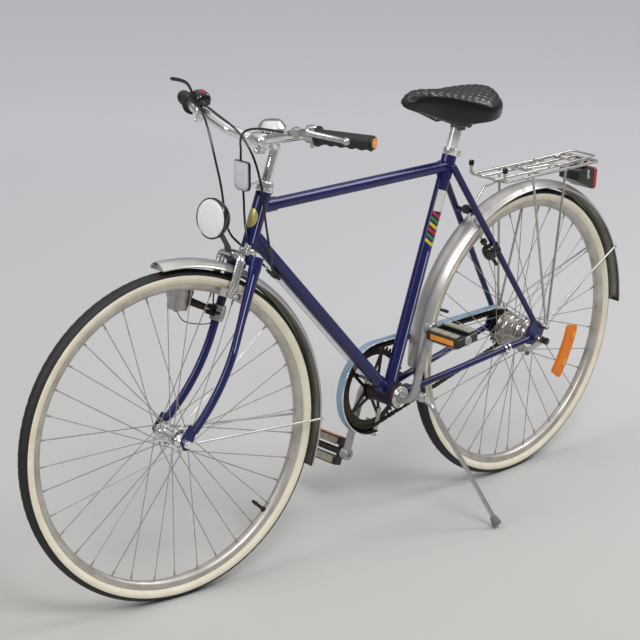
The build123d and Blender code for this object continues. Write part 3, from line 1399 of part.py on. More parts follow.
def side_stand():
    root = at(STAND_FORWARD, STAND_Y + 2 * STAND_BOSS_HALF, -STAND_Z)
    body = rod(root - STAND_AXIS * STAND_BOSS_HALF, root + STAND_AXIS * STAND_BOSS_HALF, STAND_BOSS)
    body += bent([root, STAND_KNEE, STAND_FOOT], STAND_LEG, 3 * STAND_LEG)
    body += Pos(*STAND_FOOT) * Sphere(STAND_PAD)
    return body


def stand_bracket():
    """Plate between the chain stays behind the bracket, with the boss for the stand."""
    middle = at(STAND_FORWARD, 0, STAND_PLATE - STAND_Z)
    body = block(middle, STAND_PLATE_LENGTH, 2 * CHAIN_STAY_ROOT_Y, STAND_PLATE)
    root = at(STAND_FORWARD, STAND_Y, -STAND_Z)
    hub = root + STAND_AXIS * (STAND_BOSS_HALF - BEAD_GAP)
    return body + rod(at(STAND_FORWARD + STAND_Y * STAND_SLANT, 0, -STAND_Z), hub, STAND_BOSS)


pieces["side_stand"] = side_stand()
pieces["stand_bracket"] = stand_bracket() - pieces["side_stand"]
for name in ("chain_stay_left", "chain_stay_right", "bracket_shell", "seat_tube"):
    pieces["stand_bracket"] -= pieces[name]

ARM_END = at(98, 0, -8)
ARM_PLATE_THICK = 3
ARM_WIDTH = 16


def brake_arm():
    """Coaster brake's arm, held to the left chain stay by a band."""
    low = REAR_HUB_LEFT + RUNNING_GAP + BRAKE_PLATE_THICK
    half = ARM_WIDTH / 2
    outline = [(0, half), (ARM_END.X, ARM_END.Z + half), (ARM_END.X, ARM_END.Z - half), (0, -half)]
    arm = plate(outline, low + ARM_PLATE_THICK / 2, ARM_PLATE_THICK)
    arm -= button(REAR_HUB, SPACER_RADIUS, low - CUT, low + ARM_PLATE_THICK + CUT)
    return arm - pieces["chain_stay_left"]


pieces["brake_arm"] = brake_arm()


GEAR_ARM_FORWARD = 62
GEAR_ARM_DROP = 18


def gear_arm():
    """Nut cap over the axle's left end, with the bell crank of the gear."""
    tip = REAR_DROPOUT_Y + DROPOUT_THICK + NUT_THICK + AXLE_PROUD
    body = button(REAR_HUB, CAP_RADIUS, tip, tip + CAP_LENGTH)
    half = CAP_RADIUS
    far = GEAR_ARM_FORWARD
    outline = [(0, half), (far, -GEAR_ARM_DROP), (far - half, -GEAR_ARM_DROP - half), (0, -half)]
    return body + plate(outline, tip + CAP_RADIUS / 2, CAP_RADIUS / 2)



pieces["gear_arm"] = gear_arm()


# Cables
CABLE = 2.5
BRAKE_CABLE_ROUTE = [
    LEVER_BARREL,
    over_head(54, 120, 148),
    over_head(57, 80, 147),
    over_head(65, 50, 143),
    over_head(68, 28, 133),
    over_head(61, 8, 112),
    over_head(48, -8, 92),
    over_head(41.5, -20, 66.6),
    over_head(38, -16, 6),
    over_head(49, 2, -52),
    BRAKE_BARREL + STEER_DIR * BARREL_LENGTH,
    BRAKE_BARREL,
]
LEFT_HOUSING_ROUTE = [
    over_head(42, -90, 145),
    over_head(41, -42, 129),
    over_head(38, -8, 101),
    over_head(32, 12, 62),
    over_head(26, 24, 10),
    over_head(26, 32, -40),
    over_head(12, 32, -103),
    over_head(-9, 22, -145),
]
RIGHT_HOUSING_ROUTE = [
    over_head(44, -130, 134),
    over_head(52, -104, 99),
    over_head(56, -84, 58),
    over_head(59, -62, 10),
    over_head(62, -48, -40),
    over_head(58, -40, -84),
    over_head(30, -34, -112),
    over_head(0, -22, -140),
]
CABLE_STOP = 6
CABLE_STOP_LENGTH = 32
CABLE_STOP_AHEAD = 96
GEAR_WIRE = 1


def on_down_tube(distance, below, across):
    """Point beside the down tube, some way down from the head tube."""
    along = (BRACKET - DOWN_TUBE_FRONT).normalized()
    under = at(along.Z, 0, -along.X)
    return DOWN_TUBE_FRONT + along * distance + under * (-below if under.Z > 0 else below) + ACROSS * across


def cable_stops():
    stops = []
    for side in (1, -1):
        start = on_down_tube(CABLE_STOP_AHEAD, TUBE_LARGE + CABLE_STOP, side * CABLE_STOP)
        end = on_down_tube(CABLE_STOP_AHEAD + CABLE_STOP_LENGTH, TUBE_LARGE + CABLE_STOP, side * CABLE_STOP)
        stops.append(rod(start, end, CABLE_STOP))
    return (stops[0] + stops[1]) - pieces["down_tube"]


def gear_wires():
    wires = []
    length = (BRACKET - DOWN_TUBE_FRONT).length
    for side in (1, -1):
        start = on_down_tube(CABLE_STOP_AHEAD + CABLE_STOP_LENGTH, TUBE_LARGE + CABLE_STOP, side * CABLE_STOP)
        end = on_down_tube(length - 2 * SHELL_RADIUS - LUG_REACH, TUBE_LARGE + CABLE_STOP, side * CABLE_STOP)
        wires.append(bar(start, end, GEAR_WIRE, 4))
    return Compound(wires)


def gear_housings():
    """Two housings from the shifter round the head tube to the stops on the down tube."""
    inner = SHIFTER_PLACE + at(SHIFTER_DEPTH / 4, SHIFTER_WIDTH / 2, -SHIFTER_HEIGHT / 4)
    under = SHIFTER_PLACE + at(SHIFTER_DEPTH / 4, SHIFTER_WIDTH / 4, -SHIFTER_HEIGHT / 2)
    housings = []
    for side, start, route in ((1, inner, LEFT_HOUSING_ROUTE), (-1, under, RIGHT_HOUSING_ROUTE)):
        end = on_down_tube(CABLE_STOP_AHEAD, TUBE_LARGE + CABLE_STOP, side * CABLE_STOP)
        housing = bent([steered_point(start)] + route + [end], CABLE, 6 * CABLE, 6)
        housings.append(housing - steered(pieces["shifter"]) - pieces["cable_stops"])
    return Compound([housing.solid() for housing in housings])


pieces["cable_stops"] = cable_stops()
pieces["gear_wires"] = gear_wires()
pieces["gear_housings"] = gear_housings()
pieces["brake_cable"] = bent(BRAKE_CABLE_ROUTE, CABLE, 5 * CABLE, 6)
pieces["brake_cable"] -= pieces["brake_lever"]
pieces["brake_cable"] -= pieces["front_brake"]


# Turning, leaning and standing on the floor
STEERED = [
    "front_tyre", "front_rim", "front_hub", "front_axle", "fork", "headset_nut", "front_mudguard",
    "front_mudguard_stay", "handlebar", "grip_left", "grip_right", "stem", "brake_lever", "shifter", "bell",
    "headlamp", "headlamp_lens", "front_brake", "lamp_bracket", "front_reflector", "dynamo", "brake_cable",
]


def low_of_wheel(centre, axle):
    """Height of a tyre's lowest point, from its middle and the direction of its axle."""
    upright = sqrt(1 - axle.Z * axle.Z)
    return centre.Z - max(radius * upright + across * abs(axle.Z) for radius, across in TYRE_SECTION)


def leaned(vector, pitch):
    return vector.rotate(Axis.Y, pitch).rotate(Axis.X, -LEAN)


front_centre = steered_point(FRONT_HUB)
front_across = steered_point(FRONT_HUB + ACROSS) - front_centre
pitch = 0.0
for step in range(6):
    front_low = low_of_wheel(leaned(front_centre, pitch), leaned(front_across, pitch))
    rear_low = low_of_wheel(REAR_HUB, leaned(ACROSS, pitch))
    pitch += degrees((front_low - rear_low) / WHEELBASE)
lift = -low_of_wheel(REAR_HUB, leaned(ACROSS, pitch))
stand_on_floor = Pos(0, 0, lift) * Rot(X=-LEAN) * Rot(Y=pitch)

placed = {}
for name, shape in pieces.items():
    turned = steered(shape) if name in STEERED else shape
    placed[name] = stand_on_floor * turned

ground = block(at(0, 0, -STAND_PAD), 2 * WHEELBASE, WHEELBASE, 2 * STAND_PAD)
placed["side_stand"] = placed["side_stand"] - ground
box = Compound(list(placed.values())).bounding_box()
centring = Pos(-(box.min.X + box.max.X) / 2, -(box.min.Y + box.max.Y) / 2, 0)

if __name__ == "__main__":
    for name, shape in placed.items():
        export_step(centring * shape, "parts/" + name + ".step")
        print(name, round(shape.volume), shape.is_valid)
    print("size", box.size, "lowest", box.min.Z)
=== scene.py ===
import bpy
import json
from math import asin, atan2, cos, floor, hypot, pi, radians, sin, sqrt, tan
from mathutils import Matrix, Vector


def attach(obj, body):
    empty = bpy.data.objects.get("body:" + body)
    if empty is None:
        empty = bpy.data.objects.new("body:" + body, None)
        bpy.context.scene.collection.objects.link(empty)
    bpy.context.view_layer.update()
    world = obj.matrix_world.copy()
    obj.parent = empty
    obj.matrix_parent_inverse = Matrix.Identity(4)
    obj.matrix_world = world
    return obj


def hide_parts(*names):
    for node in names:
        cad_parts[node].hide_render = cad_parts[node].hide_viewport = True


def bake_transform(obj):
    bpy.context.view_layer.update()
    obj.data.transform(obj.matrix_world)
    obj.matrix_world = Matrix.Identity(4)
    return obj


# The looks of a roadster bicycle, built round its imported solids.
# Lengths are in millimetres in an upright frame, with x forward, y to the left and z up from the
# rear hub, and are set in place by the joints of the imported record.

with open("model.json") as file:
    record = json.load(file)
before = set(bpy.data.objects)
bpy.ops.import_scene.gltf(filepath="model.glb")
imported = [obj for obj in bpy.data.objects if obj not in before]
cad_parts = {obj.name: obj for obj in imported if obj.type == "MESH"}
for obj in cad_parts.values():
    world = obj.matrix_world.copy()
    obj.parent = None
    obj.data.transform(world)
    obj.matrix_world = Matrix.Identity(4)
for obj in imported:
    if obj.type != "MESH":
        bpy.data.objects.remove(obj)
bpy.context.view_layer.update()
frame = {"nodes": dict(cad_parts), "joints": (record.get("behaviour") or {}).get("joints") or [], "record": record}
nodes = frame["nodes"]
joints = {joint["name"]: joint for joint in frame["joints"]}
MM = 0.001
X = Vector((1, 0, 0))
Y = Vector((0, 1, 0))
Z = Vector((0, 0, 1))

# Driving sizes, as in the solids
WHEELBASE = 1060
HEAD_ANGLE = radians(70.5)
SEAT_ANGLE = radians(72)
FORK_OFFSET = 60
BRACKET_FORWARD = 436
BRACKET_DROP = 50
STEER = radians(-9.23)


# Places and directions, from the joints
def joint_place(name):
    return Vector(joints[name]["pos_m"])


def joint_axis(name):
    return Vector(joints[name]["axis"]).normalized()


REAR_PLACE = joint_place("rear_wheel_spin")
ACROSS = joint_axis("rear_wheel_spin")
toward_bracket = (joint_place("crank_turn") - REAR_PLACE).normalized()
bracket_dip = atan2(BRACKET_DROP, BRACKET_FORWARD)
FORWARD = Matrix.Rotation(-bracket_dip, 3, ACROSS) @ toward_bracket
UPWARD = FORWARD.cross(ACROSS)


def space_of(place, forward, across, upward):
    """Matrix of a space from its origin and its three axes."""
    space = Matrix((forward, across, upward)).transposed().to_4x4()
    space.translation = place
    return space


UPRIGHT = space_of(REAR_PLACE, FORWARD, ACROSS, UPWARD) @ Matrix.Scale(MM, 4)
STEER_PLACE = joint_place("steering_turn")
STEER_TURN = Matrix.Rotation(STEER, 4, joint_axis("steering_turn"))
STEERED = Matrix.Translation(STEER_PLACE) @ STEER_TURN @ Matrix.Translation(-STEER_PLACE) @ UPRIGHT

# Lines of the frame, in millimetres
STEER_DIR = Vector((-cos(HEAD_ANGLE), 0, sin(HEAD_ANGLE)))
STEER_FRONT = Vector((sin(HEAD_ANGLE), 0, cos(HEAD_ANGLE)))
FRONT_HUB = Vector((WHEELBASE, 0, 0))
REAR_HUB = Vector((0, 0, 0))
BRACKET = Vector((BRACKET_FORWARD, 0, -BRACKET_DROP))
STEER_FOOT = FRONT_HUB - STEER_FRONT * FORK_OFFSET


def on_steerer(height, ahead=0.0):
    """Place on the steering axis at a height, and ahead of it."""
    along = (height - STEER_FOOT.z) / STEER_DIR.z
    return STEER_FOOT + STEER_DIR * along + STEER_FRONT * ahead


HEAD_BOTTOM = 361
HEAD_TOP = 472
HEAD_TUBE = 16


def over_head(ahead, across, above):
    """Point ahead of the middle of the head tube's top, and above it."""
    return Vector((on_steerer(HEAD_TOP).x + ahead, across, HEAD_TOP + above))


SEAT_TUBE_TOP = 466


def on_seat_tube(height):
    """Place on the seat tube's middle line at a height."""
    rise = height - BRACKET.z
    return BRACKET + Vector((-rise / tan(SEAT_ANGLE), 0, rise))


def mirrored(point):
    """Same place on the other side."""
    return Vector((point[0], -point[1], point[2]))


def radial(angle):
    """Direction out of a wheel's middle, in the plane of the frame."""
    return Vector((cos(angle), 0, sin(angle)))


def both_ends(profile):
    """A profile of radius and along pairs that ends at the middle, with its mirror image."""
    return profile + [(radius, -along) for radius, along in reversed(profile[:-1])]


def round_outline(half_wide, half_high, corner, steps):
    """Pairs round an oblong with round corners."""
    pairs = []
    for quarter, (side, end) in enumerate(((1, 1), (-1, 1), (-1, -1), (1, -1))):
        for step in range(steps + 1):
            angle = pi / 2 * (quarter + step / steps)
            wide = side * (half_wide - corner) + corner * cos(angle)
            pairs.append((wide, end * (half_high - corner) + corner * sin(angle)))
    return pairs


# Materials
def srgb(red, green, blue):
    """A screen colour from 0 to 255, as the linear one that shaders take."""
    out = []
    for value in (red, green, blue):
        share = value / 255
        out.append(share / 12.92 if share <= 0.04045 else ((share + 0.055) / 1.055) ** 2.4)
    return (*out, 1)


def material(name, colour, metallic=0.0, roughness=0.5, second=None, patch_scale=30, patch=0.5,
             bump=0.0, bump_scale=200, coat=0.0, rough_vary=0.08):
    """Shader with mottled colour, uneven roughness and a fine bump, from noise in the object's space."""
    shade = bpy.data.materials.new(name)
    shade.use_nodes = True
    tree = shade.node_tree
    tree.nodes.clear()
    out = tree.nodes.new("ShaderNodeOutputMaterial")
    body = tree.nodes.new("ShaderNodeBsdfPrincipled")
    tree.links.new(body.outputs["BSDF"], out.inputs["Surface"])
    body.inputs["Metallic"].default_value = metallic
    body.inputs["Coat Weight"].default_value = coat
    body.inputs["Coat Roughness"].default_value = 0.05
    places = tree.nodes.new("ShaderNodeTexCoord")
    cloud = tree.nodes.new("ShaderNodeTexNoise")
    cloud.inputs["Scale"].default_value = patch_scale
    cloud.inputs["Detail"].default_value = 5
    tree.links.new(places.outputs["Object"], cloud.inputs["Vector"])
    body.inputs["Base Color"].default_value = srgb(*colour)
    if second:
        ramp = tree.nodes.new("ShaderNodeValToRGB")
        for element, side, tint in zip(ramp.color_ramp.elements, (-1, 1), (colour, second)):
            element.position = 0.5 + side * patch / 2
            element.color = srgb(*tint)
        tree.links.new(cloud.outputs["Fac"], ramp.inputs["Fac"])
        tree.links.new(ramp.outputs["Color"], body.inputs["Base Color"])
    rough = tree.nodes.new("ShaderNodeMapRange")
    rough.inputs["To Min"].default_value = max(0.02, roughness - rough_vary)
    rough.inputs["To Max"].default_value = min(1.0, roughness + rough_vary)
    tree.links.new(cloud.outputs["Fac"], rough.inputs["Value"])
    tree.links.new(rough.outputs["Result"], body.inputs["Roughness"])
    if bump:
        grain = tree.nodes.new("ShaderNodeTexNoise")
        grain.inputs["Scale"].default_value = bump_scale
        grain.inputs["Detail"].default_value = 3
        tree.links.new(places.outputs["Object"], grain.inputs["Vector"])
        bumper = tree.nodes.new("ShaderNodeBump")
        bumper.inputs["Strength"].default_value = bump
        bumper.inputs["Distance"].default_value = 0.001
        tree.links.new(grain.outputs["Fac"], bumper.inputs["Height"])
        tree.links.new(bumper.outputs["Normal"], body.inputs["Normal"])
    return shade


def glassy(name, colour, roughness, transmission, bump=0.0):
    """Shader of a lens or a reflector."""
    shade = material(name, colour, 0.0, roughness, bump=bump, bump_scale=300)
    for node in shade.node_tree.nodes:
        if node.type == "BSDF_PRINCIPLED":
            node.inputs["Transmission Weight"].default_value = transmission
            node.inputs["IOR"].default_value = 1.45
    return shade


MATERIALS = {
    # name: colour, metallic, roughness, second colour, patch scale, patch, bump, bump scale
    "navy_gloss": ((20, 26, 92), 0.0, 0.27, (15, 18, 66), 9, 0.9, 0.02, 500),
    # The pale line is a painted highlight: the frame's shine drawn as strips of colour down the tubes.
    "painted_highlight_line": ((176, 184, 206), 0.1, 0.4),
    "blank_label": ((214, 214, 210), 0.0, 0.45, (190, 190, 186), 60),
    "label_yellow": ((214, 188, 40), 0.0, 0.45, (190, 160, 40), 60),
    "label_green": ((60, 120, 70), 0.0, 0.45, (50, 100, 60), 60),
    "label_red": ((190, 40, 36), 0.0, 0.45, (160, 36, 34), 60),
    "whitewall": ((240, 234, 215), 0.0, 0.7, (214, 204, 180), 26, 0.7, 0.15, 400),
    "tread": ((19, 19, 22), 0.0, 0.62, (28, 28, 30), 40, 0.6, 0.3, 500),
    "rim_steel": ((208, 204, 198), 0.65, 0.4, (164, 156, 146), 24, 0.55, 0.12, 300),
    "chrome": ((250, 250, 252), 0.88, 0.13, (226, 224, 221), 60, 0.9, 0.02, 600),
    "worn_chrome": ((206, 203, 198), 0.85, 0.28, (142, 133, 122), 70, 0.6, 0.08, 500),
    "spoke_steel": ((190, 188, 184), 0.7, 0.4, (146, 140, 132), 50, 0.7),
    "stainless": ((222, 221, 219), 0.7, 0.32, (174, 169, 162), 14, 0.8, 0.05, 260),
    # The chain guard's inner faces are near-black, partly from dirt and partly from painted shade.
    "guard_inside_dirt_and_shade": ((46, 44, 42), 0.2, 0.8, (30, 29, 28), 40, 0.6, 0.2, 300),
    "guard_underside": ((166, 162, 154), 0.85, 0.34, (118, 113, 105), 20, 0.7, 0.1, 300),
    "alloy": ((208, 208, 207), 0.9, 0.33, (170, 168, 164), 60, 0.7, 0.06, 400),
    "black_plastic": ((26, 26, 27), 0.0, 0.35, (36, 36, 36), 60, 0.6, 0.05, 500),
    "gloss_black": ((16, 16, 17), 0.0, 0.16, (24, 24, 24), 30, 0.6),
    "black_rubber": ((22, 22, 23), 0.0, 0.55, (36, 35, 35), 40, 0.5, 0.2, 400),
    "orange_clip": ((238, 168, 60), 0.0, 0.35, (226, 120, 12), 60),
    "light_blue": ((142, 172, 194), 0.1, 0.42, (122, 152, 176), 30, 0.8),
    "dark_steel": ((44, 41, 39), 0.75, 0.46, (70, 60, 50), 80, 0.5, 0.15, 500),
    "rusty_steel": ((120, 112, 104), 0.6, 0.55, (112, 66, 34), 60, 0.4, 0.3, 300),
    "brown_ring": ((104, 62, 30), 0.3, 0.55, (66, 42, 26), 80, 0.6, 0.2, 400),
    "plain_gold": ((206, 194, 124), 0.5, 0.35, (160, 144, 84), 60, 0.6, 0.05),
    "mirror_bowl": ((246, 246, 247), 0.35, 0.3, (222, 222, 224), 40, 0.8),
    "red_mark": ((150, 52, 58), 0.0, 0.35, (120, 44, 50), 60),
    "beige_tread": ((172, 166, 148), 0.0, 0.8, (120, 114, 100), 60, 0.6, 0.3, 400),
    "rack_steel": ((216, 215, 212), 0.85, 0.24, (168, 162, 154), 70, 0.7, 0.05, 500),
    "bracket_brown": ((92, 78, 68), 0.4, 0.5, (58, 46, 40), 90, 0.6, 0.2, 400),
    "brake_alloy": ((226, 226, 227), 0.85, 0.2, (180, 178, 174), 60, 0.8, 0.03, 400),
    # The bracket sleeve takes a darker copy of the frame's navy, mottled with dark brown.
    "darker_navy": ((18, 20, 56), 0.0, 0.4, (26, 22, 22), 40, 0.5, 0.1, 300),
    "crank_grey": ((190, 190, 192), 0.7, 0.34, (150, 146, 140), 50, 0.7, 0.05, 400),
    "chain_black": ((36, 33, 31), 0.6, 0.45, (58, 48, 40), 120, 0.6, 0.1, 500),
    "cap_grey": ((158, 160, 166), 0.2, 0.4, (130, 130, 134), 60),
    "worn_rubber": ((120, 118, 114), 0.0, 0.7, (84, 82, 79), 50, 0.6, 0.2, 300),
    "seat_top": ((38, 37, 38), 0.0, 0.3, (30, 30, 31), 30, 0.7, 0.1, 700),
    "skirt_vinyl": ((9, 9, 12), 0.0, 0.24, (14, 14, 17), 30, 0.6, 0.05, 400),
    # The seat post's chrome is drawn pale and barely metallic: its bright reflections are painted into the colour.
    "post_painted_reflection": ((234, 235, 238), 0.2, 0.22, (186, 186, 186), 60, 0.8, 0.02, 500),
}
GLASSY = {
    # name: colour, roughness, transmission, bump
    "orange_reflector": ((226, 120, 12), 0.3, 0.0, 0.1),
    "clear_lens": ((238, 239, 242), 0.12, 0.15),
    "clear_reflector": ((238, 240, 243), 0.2, 0.1, 0.1),
    "reflector_back": ((178, 182, 188), 0.25, 0.0, 0.1),
    "red_lens": ((178, 22, 20), 0.18, 0.0),
}
OPTIONS = {
    "navy_gloss": {"coat": 0.05, "rough_vary": 0.05},
    "painted_highlight_line": {"patch_scale": 80},
    "chrome": {"rough_vary": 0.05},
    "gloss_black": {"coat": 0.3},
}
looks = {name: material(name, *row, **OPTIONS.get(name, {})) for name, row in MATERIALS.items()}
looks.update({name: glassy(name, *row) for name, row in GLASSY.items()})

# The seat post takes the pale colour with its painted reflections.
OWN_LOOKS = {
    "seat_post": "post_painted_reflection", "lamp_bracket": "bracket_brown", "saddle_clamp": "worn_rubber",
    "dynamo": "alloy",
}
SLOT_LOOKS = {
    "whitewall_tyre": "whitewall", "steel_rim": "rim_steel", "orange_plastic": "orange_reflector",
    "navy_paint": "navy_gloss", "bright_alloy": "alloy", "stainless_sheet": "stainless",
    "light_blue_paint": "light_blue",
}
for part in frame["record"]["subparts"]:
    slot = part["material_slot"]
    node = nodes[part["node"]]
    node.data.materials.clear()
    node.data.materials.append(looks[OWN_LOOKS.get(part["node"], SLOT_LOOKS.get(slot, slot))])

# Camera, in metres from the floor under the rear hub
CAMERA_PLACE = Vector((3.5848, 2.9628, 1.6998))
CAMERA_YAW = radians(-134.75)
CAMERA_PITCH = radians(-15.97)
CAMERA_ROLL = radians(-0.36)
CAMERA_LENS = 115.2

level_look = Vector((cos(CAMERA_YAW), sin(CAMERA_YAW), 0))
look = level_look * cos(CAMERA_PITCH) + Z * sin(CAMERA_PITCH)
right = look.cross(Z).normalized()
up = right.cross(look)
right_rolled = right * cos(CAMERA_ROLL) + up * sin(CAMERA_ROLL)
up_rolled = up * cos(CAMERA_ROLL) - right * sin(CAMERA_ROLL)
camera = bpy.data.objects.new("camera", bpy.data.cameras.new("camera"))
camera.data.lens = CAMERA_LENS
camera.data.sensor_width = 36
camera.data.clip_start = 0.05
camera.data.clip_end = 60
pose = Matrix((right_rolled, up_rolled, -look)).transposed().to_4x4()
pose.translation = CAMERA_PLACE + Vector((REAR_PLACE.x, REAR_PLACE.y, 0))
camera.matrix_world = pose
bpy.context.scene.collection.objects.link(camera)
bpy.context.scene.camera = camera


# Floor, backdrop and light
def plane_piece(name, half, height, shade):
    """Level square that stands for the floor."""
    mesh = bpy.data.meshes.new(name)
    corners = [(side * half, end * half, height) for side, end in ((-1, -1), (1, -1), (1, 1), (-1, 1))]
    mesh.from_pydata(corners, [], [(0, 1, 2, 3)])
    mesh.materials.append(shade)
    piece = bpy.data.objects.new(name, mesh)
    bpy.context.scene.collection.objects.link(piece)
    return piece


# The floor's colour is painted paler with distance beyond the bike, as a painted light falloff.
floor_mat = material("floor", (170, 169, 163), 0.0, 0.9, (167, 166, 160), 2, 0.9)
floor_tree = floor_mat.node_tree
floor_nodes = {node.type: node for node in floor_tree.nodes}
swung = floor_tree.nodes.new("ShaderNodeMapping")
swung.inputs["Rotation"].default_value = (0, 0, radians(-45))
parted = floor_tree.nodes.new("ShaderNodeSeparateXYZ")
distance_of = floor_tree.nodes.new("ShaderNodeMapRange")
distance_of.inputs["From Min"].default_value = 1.5
distance_of.inputs["From Max"].default_value = -5.0
painted_falloff = floor_tree.nodes.new("ShaderNodeMix")
painted_falloff.data_type = "RGBA"
painted_falloff.inputs["B"].default_value = srgb(222, 222, 226)
for source, target in (
    (floor_nodes["TEX_COORD"].outputs["Object"], swung.inputs["Vector"]),
    (swung.outputs["Vector"], parted.inputs["Vector"]),
    (parted.outputs["X"], distance_of.inputs["Value"]),
    (distance_of.outputs["Result"], painted_falloff.inputs["Factor"]),
    (floor_nodes["VALTORGB"].outputs["Color"], painted_falloff.inputs["A"]),
    (painted_falloff.outputs["Result"], floor_nodes["BSDF_PRINCIPLED"].inputs["Base Color"]),
):
    floor_tree.links.new(source, target)
plane_piece("floor", 30, -0.0006, floor_mat)

world = bpy.data.worlds.new("studio")
world.use_nodes = True
backdrop = world.node_tree.nodes["Background"]
around = world.node_tree.nodes.new("ShaderNodeTexCoord")
height_of = world.node_tree.nodes.new("ShaderNodeSeparateXYZ")
sky = world.node_tree.nodes.new("ShaderNodeValToRGB")
sky.color_ramp.elements[0].position = 0.45
sky.color_ramp.elements[0].color = srgb(120, 120, 122)
sky.color_ramp.elements[1].position = 0.95
sky.color_ramp.elements[1].color = srgb(248, 248, 250)
half_way = sky.color_ramp.elements.new(0.62)
half_way.color = srgb(214, 214, 217)
world.node_tree.links.new(around.outputs["Generated"], height_of.inputs["Vector"])
world.node_tree.links.new(height_of.outputs["Z"], sky.inputs["Fac"])
world.node_tree.links.new(sky.outputs["Color"], backdrop.inputs["Color"])
backdrop.inputs["Strength"].default_value = 0.95
bpy.context.scene.world = world


def lamp(name, place, target, size, power):
    """Round area light aimed at a place."""
    light = bpy.data.lights.new(name, "AREA")
    light.shape = "DISK"
    light.size = size
    light.energy = power
    piece = bpy.data.objects.new(name, light)
    piece.location = place
    piece.rotation_euler = (Vector(target) - Vector(place)).to_track_quat("-Z", "Y").to_euler()
    bpy.context.scene.collection.objects.link(piece)
    return piece


lamp("key", (1.6, 3.2, 4.2), (0, 0, 0.4), 2.0, 130)
lamp("fill", (4.2, -0.6, 2.8), (0, 0, 0.4), 1.6, 60)
lamp("back", (-3.2, 1.6, 3.6), (0, 0, 0.5), 2.0, 70)

bpy.context.scene.view_settings.view_transform = "Standard"


# Ways of making meshes
class Shape:
    """Points and faces gathered for one piece, each face with the place of its material."""

    def __init__(self):
        self.points = []
        self.faces = []
        self.marks = []

    def add(self, made, mark=0):
        points, faces = made
        start = len(self.points)
        self.points += [Vector(point) for point in points]
        self.faces += [tuple(start + index for index in face) for face in faces]
        self.marks += [mark] * len(faces)
        return self


SMOOTH_LIMIT = radians(38)


TURNED_BODIES = ("steering", "front_wheel")


def piece_of(name, shape, body, shades, replaces=()):
    """Sets a shape in place, gives it its materials and makes it ride on a body."""
    space = STEERED if body in TURNED_BODIES else UPRIGHT
    mesh = bpy.data.meshes.new(name)
    mesh.from_pydata([space @ point for point in shape.points], [], shape.faces)
    for shade in shades:
        mesh.materials.append(looks[shade])
    for polygon, mark in zip(mesh.polygons, shape.marks):
        polygon.material_index = mark
        polygon.use_smooth = True
    mesh.set_sharp_from_angle(angle=SMOOTH_LIMIT)
    mesh.validate()
    piece = bpy.data.objects.new(name, mesh)
    bpy.context.scene.collection.objects.link(piece)
    if body:
        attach(piece, body)
    if replaces:
        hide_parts(*replaces)
    return piece


def across_pair(axis):
    """Two directions at right angles to an axis and to each other."""
    helper = Vector((0, 0, 1)) if abs(axis.z) < 0.9 else Vector((1, 0, 0))
    first = helper.cross(axis).normalized()
    return first, axis.cross(first)


def joined_rings(rings, closed=False, caps=True):
    """Skin over rings of equally many points."""
    count = len(rings[0])
    points = [point for ring in rings for point in ring]
    faces = []
    spans = len(rings) if closed else len(rings) - 1
    for ring in range(spans):
        following = (ring + 1) % len(rings)
        for index in range(count):
            beside = (index + 1) % count
            corners = (ring * count + index, ring * count + beside, following * count + beside,
                       following * count + index)
            faces.append(corners)
    if caps and not closed:
        faces.append(tuple(reversed(range(count))))
        faces.append(tuple((len(rings) - 1) * count + index for index in range(count)))
    return points, faces


def turned(profile, place, axis, segments=48, start=0.0, arc=2 * pi, x_axis=None):
    """Closed profile of radius and along-axis pairs, turned about an axis."""
    axis = Vector(axis).normalized()
    if x_axis is None:
        x_axis, y_axis = across_pair(axis)
    else:
        x_axis = Vector(x_axis)
        y_axis = axis.cross(x_axis)
    whole = abs(arc - 2 * pi) < 0.001
    rings = []
    for step in range(segments if whole else segments + 1):
        angle = start + arc * step / segments
        out = x_axis * cos(angle) + y_axis * sin(angle)
        rings.append([Vector(place) + out * radius + axis * along for radius, along in profile])
    return joined_rings(rings, closed=whole)


def spun(profile, place, axis, segments=32):
    """Solid of revolution whose open profile starts and ends on the axis."""
    axis = Vector(axis).normalized()
    x_axis, y_axis = across_pair(axis)
    points = []
    faces = []
    inner = [pair for pair in profile if pair[0] > 0.0001]
    for radius, along in inner:
        for step in range(segments):
            angle = 2 * pi * step / segments
            out = x_axis * cos(angle) + y_axis * sin(angle)
            points.append(Vector(place) + out * radius + axis * along)
    for ring in range(len(inner) - 1):
        for step in range(segments):
            beside = (step + 1) % segments
            faces.append((ring * segments + step, ring * segments + beside,
                          (ring + 1) * segments + beside, (ring + 1) * segments + step))
    for last, along in ((0, profile[0][1]), (len(inner) - 1, profile[-1][1])):
        tip = len(points)
        points.append(Vector(place) + axis * along)
        for step in range(segments):
            beside = (step + 1) % segments
            corners = (last * segments + step, last * segments + beside, tip)
            faces.append(corners if last else tuple(reversed(corners)))
    return points, faces


def rounded(points, radius, steps=8):
    """Path of straight runs with an arc at each inner corner."""
    points = [Vector(point) for point in points]
    path = [points[0]]
    radii = radius if isinstance(radius, (list, tuple)) else [radius] * (len(points) - 2)
    for index in range(1, len(points) - 1):
        corner = points[index]
        back = (points[index - 1] - corner).normalized()
        ahead = (points[index + 1] - corner).normalized()
        angle = back.angle(ahead)
        turn = pi - angle
        if turn < 0.02:
            path.append(corner)
            continue
        reach = radii[index - 1] * tan(turn / 2)
        limit = 0.49 * min((points[index - 1] - corner).length, (points[index + 1] - corner).length)
        reach = min(reach, limit)
        arc_radius = reach / tan(turn / 2)
        centre = corner + (back + ahead).normalized() * (arc_radius / sin(angle / 2))
        first = corner + back * reach - centre
        last = corner + ahead * reach - centre
        normal = first.cross(last).normalized()
        for step in range(steps + 1):
            path.append(centre + Matrix.Rotation(turn * step / steps, 3, normal) @ first)
    path.append(points[-1])
    return path


